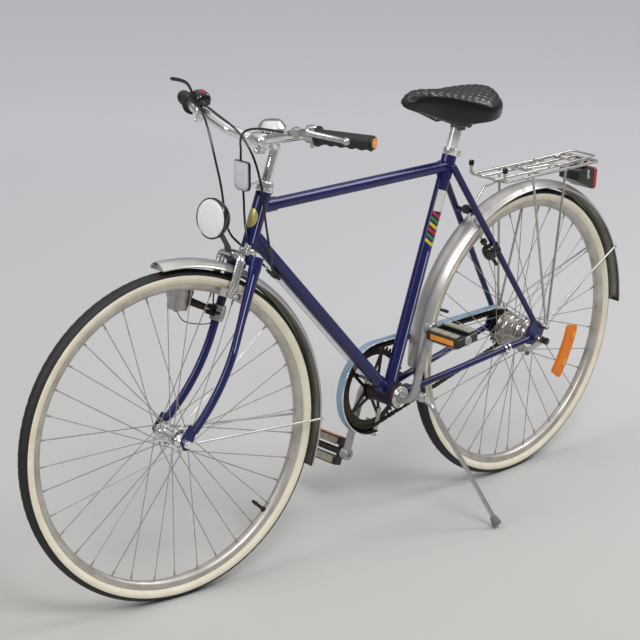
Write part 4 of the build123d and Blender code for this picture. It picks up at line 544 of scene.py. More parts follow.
def flowing(points, steps=8):
    """Smooth path through points."""
    points = [Vector(point) for point in points]
    padded = [2 * points[0] - points[1]] + points + [2 * points[-1] - points[-2]]
    path = []
    for index in range(len(points) - 1):
        a, b, c, d = padded[index:index + 4]
        for step in range(steps):
            t = step / steps
            path.append(0.5 * (2 * b + (c - a) * t + (2 * a - 5 * b + 4 * c - d) * t ** 2
                               + (3 * b - a - 3 * c + d) * t ** 3))
    path.append(points[-1])
    return path


def tube(path, radius, sides=12, caps=True, closed=False, squash=1.0, side=None):
    """Bar along a path. The radius is one number, or one for each point of the path."""
    path = [Vector(point) for point in path]
    radii = radius if isinstance(radius, (list, tuple)) else [radius] * len(path)
    rings = []
    aside = None
    for index, point in enumerate(path):
        if closed:
            along = path[(index + 1) % len(path)] - path[index - 1]
        else:
            along = path[min(index + 1, len(path) - 1)] - path[max(index - 1, 0)]
        along.normalize()
        if aside is None:
            aside = Vector(side) if side else across_pair(along)[0]
        aside = (aside - along * aside.dot(along)).normalized()
        beside = along.cross(aside)
        ring = []
        for step in range(sides):
            angle = 2 * pi * step / sides
            out = aside * cos(angle) + beside * (sin(angle) * squash)
            ring.append(point + out * radii[index])
        rings.append(ring)
    return joined_rings(rings, closed=closed, caps=caps)


def evenly(first, last, count):
    """Numbers at even steps, such as the radii of a tapered bar."""
    return [first + (last - first) * step / (count - 1) for step in range(count)]


def slab(outline, low, high, place=(0, 0, 0), x_axis=(1, 0, 0), y_axis=(0, 0, 1)):
    """Plate from an outline in a plane, between two distances along the plane's normal."""
    x_axis = Vector(x_axis)
    y_axis = Vector(y_axis)
    normal = x_axis.cross(y_axis).normalized()
    flat = [Vector(place) + x_axis * x + y_axis * y for x, y in outline]
    return joined_rings([[point + normal * low for point in flat],
                         [point + normal * high for point in flat]])


def soft_box(centre, size, x_axis=(1, 0, 0), y_axis=(0, 1, 0), edge=2, steps=3):
    """Box with rounded upright edges and eased rims."""
    x_axis = Vector(x_axis).normalized()
    y_axis = Vector(y_axis).normalized()
    z_axis = x_axis.cross(y_axis)
    rings = []
    for sign, ease in ((-1, 1), (-1, 0.45), (-1, 0), (1, 0), (1, 0.45), (1, 1)):
        inset = edge / 2 * ease
        level = Vector(centre) + z_axis * (sign * (size[2] / 2 - edge / 2 * (1 - ease)))
        pairs = round_outline(size[0] / 2 - inset, size[1] / 2 - inset, edge - inset, steps)
        rings.append([level + x_axis * x + y_axis * y for x, y in pairs])
    return joined_rings(rings)


def ball(centre, radius, segments=16):
    """Small sphere."""
    profile = [(radius * sin(pi * step / 8), -radius * cos(pi * step / 8)) for step in range(9)]
    profile[0] = (0, -radius)
    profile[-1] = (0, radius)
    return spun(profile, centre, (0, 0, 1), segments)


def hexagon(place, axis, radius, levels):
    """Nut with a share of its radius at each level along its axis."""
    axis = Vector(axis).normalized()
    x_axis, y_axis = across_pair(axis)
    rings = []
    for along, share in levels:
        ring = []
        for step in range(6):
            angle = pi / 3 * step
            out = x_axis * cos(angle) + y_axis * sin(angle)
            ring.append(Vector(place) + out * (radius * share) + axis * along)
        rings.append(ring)
    return joined_rings(rings)


def nut_of(place, axis, radius, thickness):
    """Nut or bolt head with eased corners."""
    return hexagon(place, axis, radius, ((0, 1), (thickness * 0.8, 1), (thickness, 0.88)))


# Smooth lines, and strips of painted highlight on tubes
def smooth_line(route):
    """Points along the smooth line that a cable's route pulls towards."""
    curve = bpy.data.curves.new("route", "CURVE")
    curve.dimensions = "3D"
    spline = curve.splines.new("NURBS")
    spline.points.add(len(route) - 1)
    for place, point in zip(spline.points, route):
        place.co = (*point, 1)
    spline.order_u = 3
    spline.use_endpoint_u = True
    spline.resolution_u = 8
    holder = bpy.data.objects.new("route", curve)
    mesh = bpy.data.meshes.new_from_object(holder)
    path = [vertex.co.copy() for vertex in mesh.vertices]
    bpy.data.meshes.remove(mesh)
    bpy.data.objects.remove(holder)
    bpy.data.curves.remove(curve)
    return path


def painted_highlight_strip(shape, start, end, out, width, mark=0, proud=0.35):
    """Thin strip of painted highlight down a tube, between two points on its surface."""
    along = (end - start).normalized()
    out = (out - along * out.dot(along)).normalized()
    beside = along.cross(out) * (width / 2)
    ring = [beside - out * 0.3, beside + out * proud, -beside + out * proud, -beside - out * 0.3]
    shape.add(joined_rings([[start + corner for corner in ring], [end + corner for corner in ring]]),
              mark)


def bolt(shape, place, axis, radius, length, mark=0):
    """Hexagon head on a washer."""
    axis = Vector(axis).normalized()
    shape.add(spun([(0, 0), (radius * 1.35, 0), (radius * 1.35, length * 0.25), (0, length * 0.25)],
                   place, axis, 24), mark)
    shape.add(nut_of(place + axis * (length * 0.2), axis, radius, length * 0.8), mark)


# Wheels
SPOKES = 36
RIM_BACK = 301.5
TREAD_GROOVE = 0.55
TREAD_MIDDLE = 5
TREAD_EDGE = 13.4
VALVE_HEIGHT = 36
FRONT_VALVE = radians(-137)
REAR_VALVE = radians(22)


def tyre_section():
    """Radius and across pairs round one tyre section, with a mark for its side wall."""
    half = [(311.2, 10.2, 1), (317.2, 10.6, 1), (319.5, 12.2, 1), (324, 15.2, 1), (329, 16.4, 1),
            (334, 15.6, 1),
            (336.6, 14.3, 0), (338.6, 13.5, 0), (340.8, 11.6, 0), (342.6, 8.6, 0), (343.9, 5.4, 0),
            (342.9, 4.6, 0), (342.9, 3.6, 0), (344.5, 2.8, 0)]
    other = [(radius, -across, mark) for radius, across, mark in reversed(half)]
    return half + other


def tyre_shape(centre):
    """Tyre with cross grooves by turns on the shoulders of its tread."""
    shape = Shape()
    section = tyre_section()
    segments = 288
    rings = []
    for step in range(segments):
        out = radial(2 * pi * step / segments)
        ring = []
        for radius, across, mark in section:
            shoulder = TREAD_MIDDLE < abs(across) < TREAD_EDGE
            cut = not mark and shoulder and (step + (across > 0)) % 3 == 0
            ring.append(centre + out * (radius - (TREAD_GROOVE if cut else 0)) + Y * across)
        rings.append(ring)
    shape.points, shape.faces = joined_rings(rings, closed=True)
    count = len(section)
    shape.marks = [section[face[0] % count][2] * section[face[1] % count][2] for face in shape.faces]
    return shape


def rim_shape(centre):
    """Hooked rim with a shallow well."""
    profile = [(310.9, 10.6), (316.4, 10.7), (317.2, 11.5), (316.6, 12.4), (314, 12.5), (311, 12.3),
               (308.6, 11.4), (305.6, 9.6), (303.2, 7.2), (301.9, 3.6), (301.5, 0)]
    shape = Shape()
    shape.add(turned(both_ends(profile), centre, Y, 180))
    return shape


def spoke_ends(centre, index, hole, flange_left, flange_right):
    """Hub end and rim end of a spoke, and the way across in which it leaves its flange."""
    side = 1 if index % 2 == 0 else -1
    lead = 1 if (index // 2) % 2 == 0 else -1
    flange = flange_left if side > 0 else -flange_right
    rim_angle = 2 * pi * index / SPOKES
    hub_angle = rim_angle + lead * 3 * 2 * pi / (SPOKES // 2)
    start = centre + radial(hub_angle) * hole + Y * flange
    end = centre + radial(rim_angle) * RIM_BACK + Y * (side * 3)
    return start, end, side * lead


def spokes_shape(shape, centre, hole, flange_left, flange_right, mark=1):
    """Crossed spokes, each hooked through its flange, with a nipple at the rim."""
    for index in range(SPOKES):
        start, end, outside = spoke_ends(centre, index, hole, flange_left, flange_right)
        hook = start + Y * (2.4 * outside)
        back = start - Y * (2.2 * outside)
        along = (end - hook).normalized()
        path = [back, start, hook + along * 2, hook + along * 6, end]
        shape.add(tube(path, 1.0, 6), mark)
        shape.add(ball(back, 1.9, 8), mark)
        root = end - along * 11
        shape.add(tube([root, root + along * 9, end + along * 0.4], [1.9, 2.1, 2.3], 8), mark)
    return shape


def valve(shape, centre, angle, mark):
    """Valve with its cap and nut, pointing to the hub."""
    out = radial(angle)
    base = centre + out * (RIM_BACK + 0.3)
    cap = base - out * (VALVE_HEIGHT * 2 / 3)
    shape.add(tube([base, cap], 3.6, 12), mark)
    shape.add(tube([cap, base - out * VALVE_HEIGHT], [4.2, 3.4], 12), mark)
    shape.add(tube([base - out * 0.3, base - out * 3], 6, 12), mark)


def front_wheel():
    """Tyre, rim and hub with spokes, straight ahead."""
    piece_of("tyre_front", tyre_shape(FRONT_HUB), "front_wheel", ["tread", "whitewall"],
             ["front_tyre"])
    rim = rim_shape(FRONT_HUB)
    valve(rim, FRONT_HUB, FRONT_VALVE, 1)
    piece_of("rim_front", rim, "front_wheel", ["rim_steel", "black_rubber"], ["front_rim"])
    hub = Shape()
    profile = [(4.6, 42.8), (8.5, 42.8), (9.5, 41), (10.5, 38), (15, 34), (15.5, 32.6), (23, 32.4),
               (24, 31), (23, 29.6), (14.5, 29.4), (12.6, 26), (12, 18), (12, 0)]
    hub.add(turned(both_ends(profile), FRONT_HUB, Y, 48))
    spokes_shape(hub, FRONT_HUB, 20, 31, 31)
    piece_of("hub_front", hub, "front_wheel", ["chrome", "spoke_steel"], ["front_hub"])


def rear_wheel():
    """Tyre, rim and geared hub with spokes."""
    piece_of("tyre_rear", tyre_shape(REAR_HUB), "rear_wheel", ["tread", "whitewall"],
             ["rear_tyre"])
    rim = rim_shape(REAR_HUB)
    valve(rim, REAR_HUB, REAR_VALVE, 1)
    piece_of("rim_rear", rim, "rear_wheel", ["rim_steel", "black_rubber"], ["rear_rim"])
    hub = Shape()
    profile = [(5.0, 37.8), (27, 37.8), (28, 36.5), (34, 34), (36, 31.6), (41, 31.5), (42, 30),
               (41, 28.5), (36.4, 28.4),
               (35, 25), (34, 18), (33.4, 10), (34.2, 9), (34.2, 6), (33.4, 5), (33.4, -8), (35.4, -10),
               (36.4, -14),
               (36.4, -26.2), (41, -26.4), (42, -28), (41, -29.6), (36, -29.8), (31, -34), (27, -37),
               (26, -37.8), (5.0, -37.8)]
    hub.add(turned(profile, REAR_HUB, Y, 64))
    spokes_shape(hub, REAR_HUB, 38, 30, 28)
    piece_of("hub_rear", hub, "rear_wheel", ["worn_chrome", "spoke_steel"], ["rear_hub"])


front_wheel()
rear_wheel()


# Mudguards
def guard_shape(centre, radius, half, start, end, sheet=1.2, marks=(0, 1)):
    """Curved sheet round the wheel with rolled edges, bright outside and dark inside."""
    outer = [(radius - 14.5, half - 1.2), (radius - 14.6, half + 0.2), (radius - 13, half + 0.4),
             (radius - 11, half - 1)]
    steps = 10
    reach = half - 2
    for step in range(steps + 1):
        share = 1 - 2 * step / steps
        across = reach * share
        outer.append((radius - 10.5 * abs(share) ** 2.2, across))
    outer += [(r, -y) for r, y in reversed(outer[:4])]
    inner = [(r - sheet, y * (1 - sheet / half)) for r, y in reversed(outer)]
    shape = Shape()
    profile = outer + inner
    segments = 96
    rings = []
    for step in range(segments + 1):
        out = radial(radians(start + (end - start) * step / segments))
        rings.append([centre + out * r + Y * y for r, y in profile])
    shape.points, shape.faces = joined_rings(rings)
    count = len(profile)
    for face in shape.faces:
        index = face[0] % count
        shape.marks.append(marks[0] if len(face) > 4 or index < len(outer) else marks[1])
    return shape


def mudguards():
    """Curled guards over both tyres."""
    front = guard_shape(FRONT_HUB, 366.5, 25, 86, 201)
    piece_of("guard_front", front, "steering", ["stainless", "guard_underside"],
             ["front_mudguard"])
    rear = guard_shape(Vector((-10, 0, -4)), 367, 27, -1, 178)
    piece_of("guard_rear", rear, "frame", ["stainless", "guard_underside"],
             ["rear_mudguard"])


mudguards()


# Chain
CHAIN_PITCH = 12.7
RING_TEETH = 46
SPROCKET_TEETH = 20
CHAINLINE = 46
RING_PITCH = CHAIN_PITCH / 2 / sin(pi / RING_TEETH)
SPROCKET_PITCH = CHAIN_PITCH / 2 / sin(pi / SPROCKET_TEETH)


def chain_pins():
    """Places of the chain's pins round both toothed wheels."""
    distance = hypot(BRACKET.x, BRACKET.z)
    tilt = atan2(BRACKET.z, BRACKET.x)
    spread = asin((RING_PITCH - SPROCKET_PITCH) / distance)
    run = distance * cos(spread)
    top = pi / 2 + tilt + spread
    bottom = tilt - pi / 2 - spread
    pins = []
    count = floor(run / CHAIN_PITCH)

    def straight(start, ahead):
        for pin in range(count):
            pins.append(start + ahead * (run * pin / count))

    def curved(centre, radius, first, arc):
        links = round(radius * arc / CHAIN_PITCH)
        for pin in range(links):
            angle = first - arc * pin / links
            pins.append(centre + radial(angle) * radius)

    straight(radial(top) * SPROCKET_PITCH, radial(top - pi / 2))
    curved(BRACKET, RING_PITCH, top, top - bottom)
    straight(BRACKET + radial(bottom) * RING_PITCH, radial(bottom - pi / 2))
    curved(REAR_HUB, SPROCKET_PITCH, bottom, 2 * pi - (top - bottom))
    return pins


def link_outline(first, second, half, waist):
    """Outline of a link plate round two pins, narrower between them."""
    along = (second - first).normalized()
    aside = Vector((-along.z, 0, along.x))
    points = []
    for pin, sign in ((second, 1), (first, -1)):
        for step in range(7):
            angle = -pi / 2 + pi * step / 6
            points.append(pin + along * (sign * half * cos(angle)) + aside * (sign * half * sin(angle)))
        points.append((first + second) / 2 + aside * (sign * waist))
    return points


def chain():
    """Inner and outer links by turns, with a pin and a roller at each joint."""
    shape = Shape()
    pins = chain_pins()
    for index, first in enumerate(pins):
        second = pins[(index + 1) % len(pins)]
        low = 2.5 if index % 2 == 0 else 1.55
        outline = link_outline(first, second, 4.2, 3.0)
        for side in (1, -1):
            levels = (low * side, (low + 0.9) * side)
            rings = [[point + Y * (level - CHAINLINE) for point in outline] for level in levels]
            if side > 0:
                rings.reverse()
            shape.add(joined_rings(rings))
        shape.add(tube([first - Y * (CHAINLINE + 3.7), first - Y * (CHAINLINE - 3.7)], 1.6, 8))
        shape.add(tube([first - Y * (CHAINLINE + 1.5), first - Y * (CHAINLINE - 1.5)], 3.6, 10))
    piece_of("chain_links", shape, "frame", ["chain_black"], ["chain"])


chain()


# Saddle
SADDLE_STATIONS = (
    # forward, half width, seam's y and height, crown's height, skirt's foot
    (143.5, 13, 9, 584, 590, 567), (146, 28, 22, 586, 596, 562), (152, 43, 35, 586, 602, 557),
    (164, 57, 48, 583, 606, 554), (182, 69, 61, 581, 609, 551), (205, 78, 70, 582, 610.5, 549),
    (228, 80, 72, 585.5, 611, 548), (252, 74, 67, 590.5, 611, 547), (275, 62, 56, 596, 611.5, 547.5),
    (298, 48.5, 43.5, 602, 613, 549.5), (320, 37.5, 33.5, 607, 615.5, 555),
    (342, 30.5, 26, 611, 618.5, 563),
    (368, 26, 21, 615, 621.5, 572.5), (392, 23, 17.5, 615.5, 621.5, 581),
    (408, 19.5, 14, 611, 617, 589),
    (418, 14.5, 9.5, 605.5, 609.5, 595), (423, 7, 4.5, 602, 604, 598.5),
)
QUILT_PITCH = 13
QUILT_RISE = 3.2
CROWN_STEPS = 36


def quilt(x, y, share):
    """Height of the sewn diamonds over the saddle's top, fading out at the seam."""
    first = abs(cos(pi * (0.444 * x - 0.895 * y) / QUILT_PITCH))
    second = abs(cos(pi * (0.444 * x + 0.895 * y) / QUILT_PITCH))
    return QUILT_RISE * (first * second) ** 0.5 * min(1, (1 - abs(share)) / 0.08)


def saddle_ring(x, half, seam_y, seam_z, crown, low):
    """One section of the saddle: its skirt, its seam and its top."""
    tall = seam_z - low
    skirt = [
        (0, low + tall * 0.5), (half * 0.7, low + tall * 0.45), (half - 7, low + 2), (half - 5, low),
        (half - 3, low + 0.6),
        (half - 1, low + tall * 0.2), (half, low + tall * 0.45), (half, low + tall * 0.66),
        (seam_y + (half - seam_y) * 0.8, low + tall * 0.84),
        (seam_y + (half - seam_y) * 0.4, seam_z - 1.6),
        (seam_y + 0.7, seam_z - 1.4),
    ]
    top = []
    for step in range(CROWN_STEPS + 1):
        share = 1 - step / CROWN_STEPS
        fall = (crown - seam_z) * share ** 2.2
        top.append((seam_y * share, crown - fall + quilt(x, seam_y * share, share)))
    side = skirt + top
    ring = [Vector((x, y, z)) for y, z in side]
    return ring + [Vector((x, -y, z)) for y, z in reversed(side[1:-1])]


def saddle():
    """Quilted crowned top sewn to a glossy skirt, hollow below."""
    paths = [flowing([Vector((place[0], place[index], 0)) for place in SADDLE_STATIONS], 8)
             for index in range(1, 6)]
    rings = []
    for step in range(len(paths[0])):
        x = paths[0][step].x
        if rings and x - rings[-1][0].x < 0.3:
            continue
        rings.append(saddle_ring(x, *[path[step].y for path in paths]))
    count = len(rings[0])
    shape = Shape()
    shape.points, shape.faces = joined_rings(rings)
    for face in shape.faces:
        index = min(face) % count if len(face) == 4 else 0
        shape.marks.append(1 if 10 <= index and index < count - 10 else 0)
    cover = piece_of("saddle_cover", shape, "frame", ["skirt_vinyl", "seat_top"],
                     ["saddle"])


saddle()


# Grips
BAR_END = over_head(-23, 328, 147)
BAR_RISE_TOP = over_head(39, 190, 150)
BAR_RISE_FOOT = over_head(37, 75, 122)
BAR_MIDDLE = over_head(7, 0, 105)


def grip(side, name):
    """Ribbed grip with finger rests, a flange and an orange end cap."""
    end = BAR_END if side > 0 else mirrored(BAR_END)
    bend = BAR_RISE_TOP if side > 0 else mirrored(BAR_RISE_TOP)
    inward = (bend - end).normalized()
    down = (inward * inward.z - Z).normalized()
    beside = inward.cross(down)
    shape = Shape()
    rings = []
    length = 118
    steps = 72
    around = [2 * pi * index / 32 for index in range(32)]
    outs = [down * cos(angle) + beside * sin(angle) for angle in around]
    for step in range(steps + 1):
        along = length * step / steps
        ring = []
        for angle, out in zip(around, outs):
            finger = max(0.0, cos(angle)) ** 2
            radius = 14 + 2.6 * finger * (0.5 + 0.5 * cos(2 * pi * along / 22))
            radius += 0.35 * (1 if step % 2 else -1) * (1 - finger)
            if along > length - 4:
                radius = 20
            if step == 0:
                radius = 12
            ring.append(end + inward * along + out * radius)
        rings.append(ring)
    bore = [[end + inward * along + out * 11.2 for out in outs] for along in (length, 0)]
    shape.add(joined_rings(rings + bore, closed=True))
    shape.add(spun([(0, -4.4), (9, -4.4), (12.5, -3.4), (14, -1), (14, 0.4), (0, 0.4)], end, inward,
                   32), 0)
    shape.add(spun([(0, -5), (7.6, -5), (9.6, -4.6), (9.6, -3), (0, -3)], end, inward, 28), 1)
    piece_of(name, shape, "steering", ["black_rubber", "orange_clip"],
             ["grip_left" if side > 0 else "grip_right"])


grip(1, "handgrip_left")
grip(-1, "handgrip_right")


# Bell
def bell():
    """Bell with a ten-sided dome, on a black foot."""
    centre = Vector((on_steerer(566, 12).x, 0, on_steerer(566, 12).z + 24))
    shape = Shape()
    shape.add(spun([(0, -26), (12, -26), (15, -20), (22, -4), (22, 0), (0, 0)], centre, Z, 32), 1)
    shape.add(spun([(0, 1), (27, 1), (29.4, 3.5), (29, 6.5), (0, 6.5)], centre, Z, 48))
    rings = []
    outs = [Vector((cos(2 * pi * step / 10), sin(2 * pi * step / 10), 0)) for step in range(10)]
    for radius, height in ((28.6, 6.5), (29, 9), (27, 12), (20, 21), (18.6, 22)):
        rings.append([centre + out * radius + Z * height for out in outs])
    shape.add(joined_rings(rings))
    shape.add(tube([centre + Vector((-20, 14, -4)), centre + Vector((-34, 22, -4)),
                    centre + Vector((-40, 30, -6))],
                   [2.2, 2.6, 3.2], 8), 0)
    piece_of("bell_dome", shape, "steering", ["chrome", "gloss_black"], ["bell"])


bell()


# Headlamp
LAMP_CENTRE = over_head(128, 0, -37)
LAMP_TURN = radians(10)
LAMP_TILT = radians(6)
LAMP_FACING = Vector((cos(LAMP_TURN), sin(LAMP_TURN), tan(LAMP_TILT))).normalized()


def headlamp():
    """Black bullet lamp with a pale bowl and a bowed, ribbed glass."""
    shape = Shape()
    across, over = across_pair(LAMP_FACING)
    shell = [(38.8, -1), (38.8, 0.6), (40.4, 1.4), (41.5, 0), (41.5, -6), (40, -8), (38.4, -13),
             (34, -21), (27, -28.5),
             (19, -34), (16, -36), (9, -36.5), (8.4, -37.5), (8.4, -46.5), (6.8, -48.2), (0, -48.2)]
    shape.add(spun([(0, -3)] + shell, LAMP_CENTRE, LAMP_FACING, 56))
    for step in range(12):
        angle = 2 * pi * step / 12
        out = across * cos(angle) + over * sin(angle)
        base = LAMP_CENTRE - LAMP_FACING * 46 + out * 8.3
        shape.add(tube([base, base + LAMP_FACING * 8], 1.0, 6))
    bowl = [(0, -2.9), (8, -2.8), (20, -2.2), (30, -1.2), (38.6, 0.2), (38.6, -0.9), (0, -3.4)]
    shape.add(spun(list(reversed(bowl)), LAMP_CENTRE, LAMP_FACING, 48), 1)
    piece_of("lamp_shell", shape, "steering", ["gloss_black", "mirror_bowl"],
             ["headlamp"])
    lens = Shape()
    reach = 38.5
    bow = 5
    outer = [(reach * sin(pi / 2 * step / 10), bow * cos(pi / 2 * step / 10)) for step in range(11)]
    lens.add(spun(inner_cap(outer), LAMP_CENTRE, LAMP_FACING, 56))
    beside = Z.cross(LAMP_FACING).normalized()
    upward = LAMP_FACING.cross(beside)
    for step in range(-6, 7):
        y = step * 5.4
        half = sqrt((reach - 1.5) ** 2 - y * y)
        path = []
        for part in range(9):
            z = -half + 2 * half * part / 8
            rise = bow * sqrt(max(0, 1 - (y * y + z * z) / (reach * reach)))
            path.append(LAMP_CENTRE + LAMP_FACING * (rise + 0.1) + beside * y + upward * z)
        lens.add(tube(path, 0.55, 6))
    piece_of("lamp_lens", lens, "steering", ["clear_lens"], ["headlamp_lens"])


def inner_cap(outer):
    """Profile of a thin bowed lens, from its middle out and back along its flat rear."""
    return list(reversed(outer + [(outer[-1][0], -0.3), (0, -0.3)]))


headlamp()


# Pedals
CRANK_ANGLE = radians(98)
CRANK_LENGTH = 171
CRANK_EYE_Y = 97
PEDAL_TILTS = {1: radians(6), -1: radians(72)}


def crank_eye(side):
    """Place of a pedal's spindle on its crank."""
    return BRACKET + radial(CRANK_ANGLE) * (side * CRANK_LENGTH) + Y * (side * CRANK_EYE_Y)


def pedal(side, name):
    """Block pedal: two bars with beige treads and reflectors, end plates and a capped barrel."""
    eye = crank_eye(side)
    middle = eye + Y * (side * (9.5 + 6 + 46))
    tilt = PEDAL_TILTS[side]
    x_axis = radial(-tilt)
    z_axis = radial(pi / 2 - tilt)
    shape = Shape()
    for end in (1, -1):
        centre = middle + x_axis * (end * 23.5)
        shape.add(soft_box(centre, (17, 90, 21), x_axis, Y, 3))
        for face in (1, -1):
            tread = middle + x_axis * (end * 21.5) + z_axis * (face * 12.4)
            shape.add(soft_box(tread, (15, 74, 3.6), x_axis, Y, 1.2), 1)
            for rib in range(-6, 7):
                place = tread + Y * (rib * 5.4) + z_axis * (face * 2.0)
                shape.add(soft_box(place, (14, 2.6, 1.2), x_axis, Y, 0.5, 1), 1)
        lens = middle + x_axis * (end * 32.4)
        shape.add(soft_box(lens, (2, 66, 12), x_axis, Y, 0.8), 2)
        shape.add(soft_box(middle + x_axis * (end * 31.2), (2.4, 74, 17), x_axis, Y, 0.8))
    for end in (1, -1):
        shape.add(soft_box(middle + Y * (end * 43.5), (64, 5, 20), x_axis, Y, 2))
    shape.add(tube([middle - Y * 46, middle + Y * 46], 7.5, 20))
    shape.add(spun([(0, 0), (10.4, 0), (10.4, 3), (8.6, 4.8), (0, 5.4)], middle + Y * (side * 44.5),
                   Y * side, 24), 3)
    shape.add(tube([middle - Y * (side * 46), middle - Y * (side * 51.8)], 4.9, 16), 4)
    piece_of(name, shape, name.replace("block", "pedal"),
             ["black_plastic", "beige_tread", "orange_clip", "cap_grey", "chrome"],
             [name.replace("block", "pedal")])


pedal(1, "block_left")
pedal(-1, "block_right")


# Painted highlight strips and labels on the painted tubes
def wrapped_patch(shape, start, along, out, radius, low, high, half_angle, mark, lift=0.3):
    """Label wrapped on a tube, between two distances along it."""
    beside = along.cross(out)
    steps = 12
    angles = [half_angle * (2 * step / steps - 1) for step in range(steps + 1)]
    outs = [out * cos(angle) + beside * sin(angle) for angle in angles]
    rings = []
    for distance in (low, high):
        place = start + along * distance
        outer = [place + way * (radius + lift) for way in outs]
        rings.append(outer + [place + way * (radius - 0.1) for way in reversed(outs)])
    shape.add(joined_rings(rings), mark)


def labels():
    """Painted highlight strips, blank label and coloured bands on the seat tube, and a blank disc on the head
    tube.
    """
    lines = Shape()
    seat_along = (on_seat_tube(SEAT_TUBE_TOP) - BRACKET).normalized()
    left_out = (Y - seat_along * seat_along.dot(Y)).normalized()
    seat_out = (left_out + seat_along.cross(left_out) * -0.25).normalized()
    # Two strips of painted highlight down the seat tube's sides.
    for side in (1, -1):
        edge = Vector((seat_out.x, side * seat_out.y, seat_out.z))
        painted_highlight_strip(lines, BRACKET + seat_along * 30 + edge * 14.3,
                    BRACKET + seat_along * 326 + edge * 14.3, edge, 1.7)
    # Two strips of painted highlight down the head tube.
    for side in (1, -1):
        out = (STEER_FRONT * 0.45 + Y * (side * 0.9)).normalized()
        low = on_steerer(HEAD_BOTTOM + 12) + out * HEAD_TUBE
        painted_highlight_strip(lines, low, on_steerer(HEAD_TOP - 14) + out * HEAD_TUBE, out, 1.5)
    wrapped_patch(lines, BRACKET, seat_along, left_out, 14.3, 416, 464, 1.15, 1)
    for index, mark in enumerate((3, 2, 4, 3, 2, 4)):
        low = 338 + 12.5 * index
        slanted_band(lines, BRACKET + seat_along * low, seat_along, left_out, 14.3, 7.5, mark)
    piece_of("frame_highlights_and_labels", lines, "frame",
             ["painted_highlight_line", "blank_label", "label_green", "label_yellow", "label_red"])
    disc = Shape()
    middle = on_steerer(419)
    rings = []
    for reach, lift in ((1.0, 0.0), (1.0, 0.7), (0.8, 1.2), (0.3, 1.35)):
        ring = []
        for step in range(36):
            angle = 2 * pi * step / 36
            turn = 15 * reach * cos(angle) / HEAD_TUBE
            out = STEER_FRONT * cos(turn) + Y * sin(turn)
            ring.append(middle + STEER_DIR * (20 * reach * sin(angle)) + out * (HEAD_TUBE + 0.1 + lift))
        rings.append(ring)
    disc.add(joined_rings(rings))
    piece_of("head_disc", disc, "frame", ["plain_gold"])
    # Strips of painted highlight down the fork blades.
    blades = Shape()
    for side in (1, -1):
        for first, last in zip(BLADE_HIGHLIGHT_SHARES, BLADE_HIGHLIGHT_SHARES[1:]):
            start, out = blade_highlight_place(first, side)
            painted_highlight_strip(blades, start, blade_highlight_place(last, side)[0], out, 1.5)
    piece_of("fork_painted_highlights", blades, "steering", ["painted_highlight_line"])


def slanted_band(shape, start, along, out, radius, width, mark):
    """Painted band that zigzags round the front half of a tube."""
    beside = along.cross(out)
    count = 16
    for face in range(count):
        front = []
        back = []
        for step, levels in ((face, (0, width)), (face + 1, (width, 0))):
            angle = -1.2 + 2.4 * step / count
            shift = 9 * abs((step / count) * 2 - 1)
            way = out * cos(angle) + beside * sin(angle)
            for level in levels:
                front.append(start + along * (shift + level) + way * (radius + 0.3))
                back.append(front[-1] - way * 0.5)
        shape.add(joined_rings([back, front]), mark)


BLADE_HIGHLIGHT_SHARES = (0.04, 0.15, 0.3, 0.45, 0.6)
BLADE_ROOT = 12.3
BLADE_TIP = 8.5
BLADE_ROOT_Y = 39
BLADE_SPREAD = 13.5
CROWN_FOOT = 31.05


def on_blade(share, side):
    """Place on the middle line of a straight fork blade, from the crown down."""
    root = on_steerer(HEAD_BOTTOM) - STEER_DIR * CROWN_FOOT
    span = (root - STEER_FOOT).length
    return root - STEER_DIR * (span * share) + Y * (side * (BLADE_ROOT_Y + BLADE_SPREAD * share))


def blade_highlight_place(share, side):
    """Place on the outer front of a fork blade, and the direction out of it."""
    radius = BLADE_ROOT + (BLADE_TIP - BLADE_ROOT) * min(1, share / 0.3)
    out = (Y * (side * 0.86) + STEER_FRONT * 0.5).normalized()
    return on_blade(share, side) + out * radius, out


labels()


# Brake lever and cable
LEVER_PIVOT = over_head(55, 192, 156)
LEVER_KNEE = over_head(51, 222, 159)
LEVER_END = over_head(33, 320, 155)
LEVER_BARREL = over_head(53, 165, 150)
BAR_ALONG = (BAR_RISE_TOP - BAR_END).normalized()


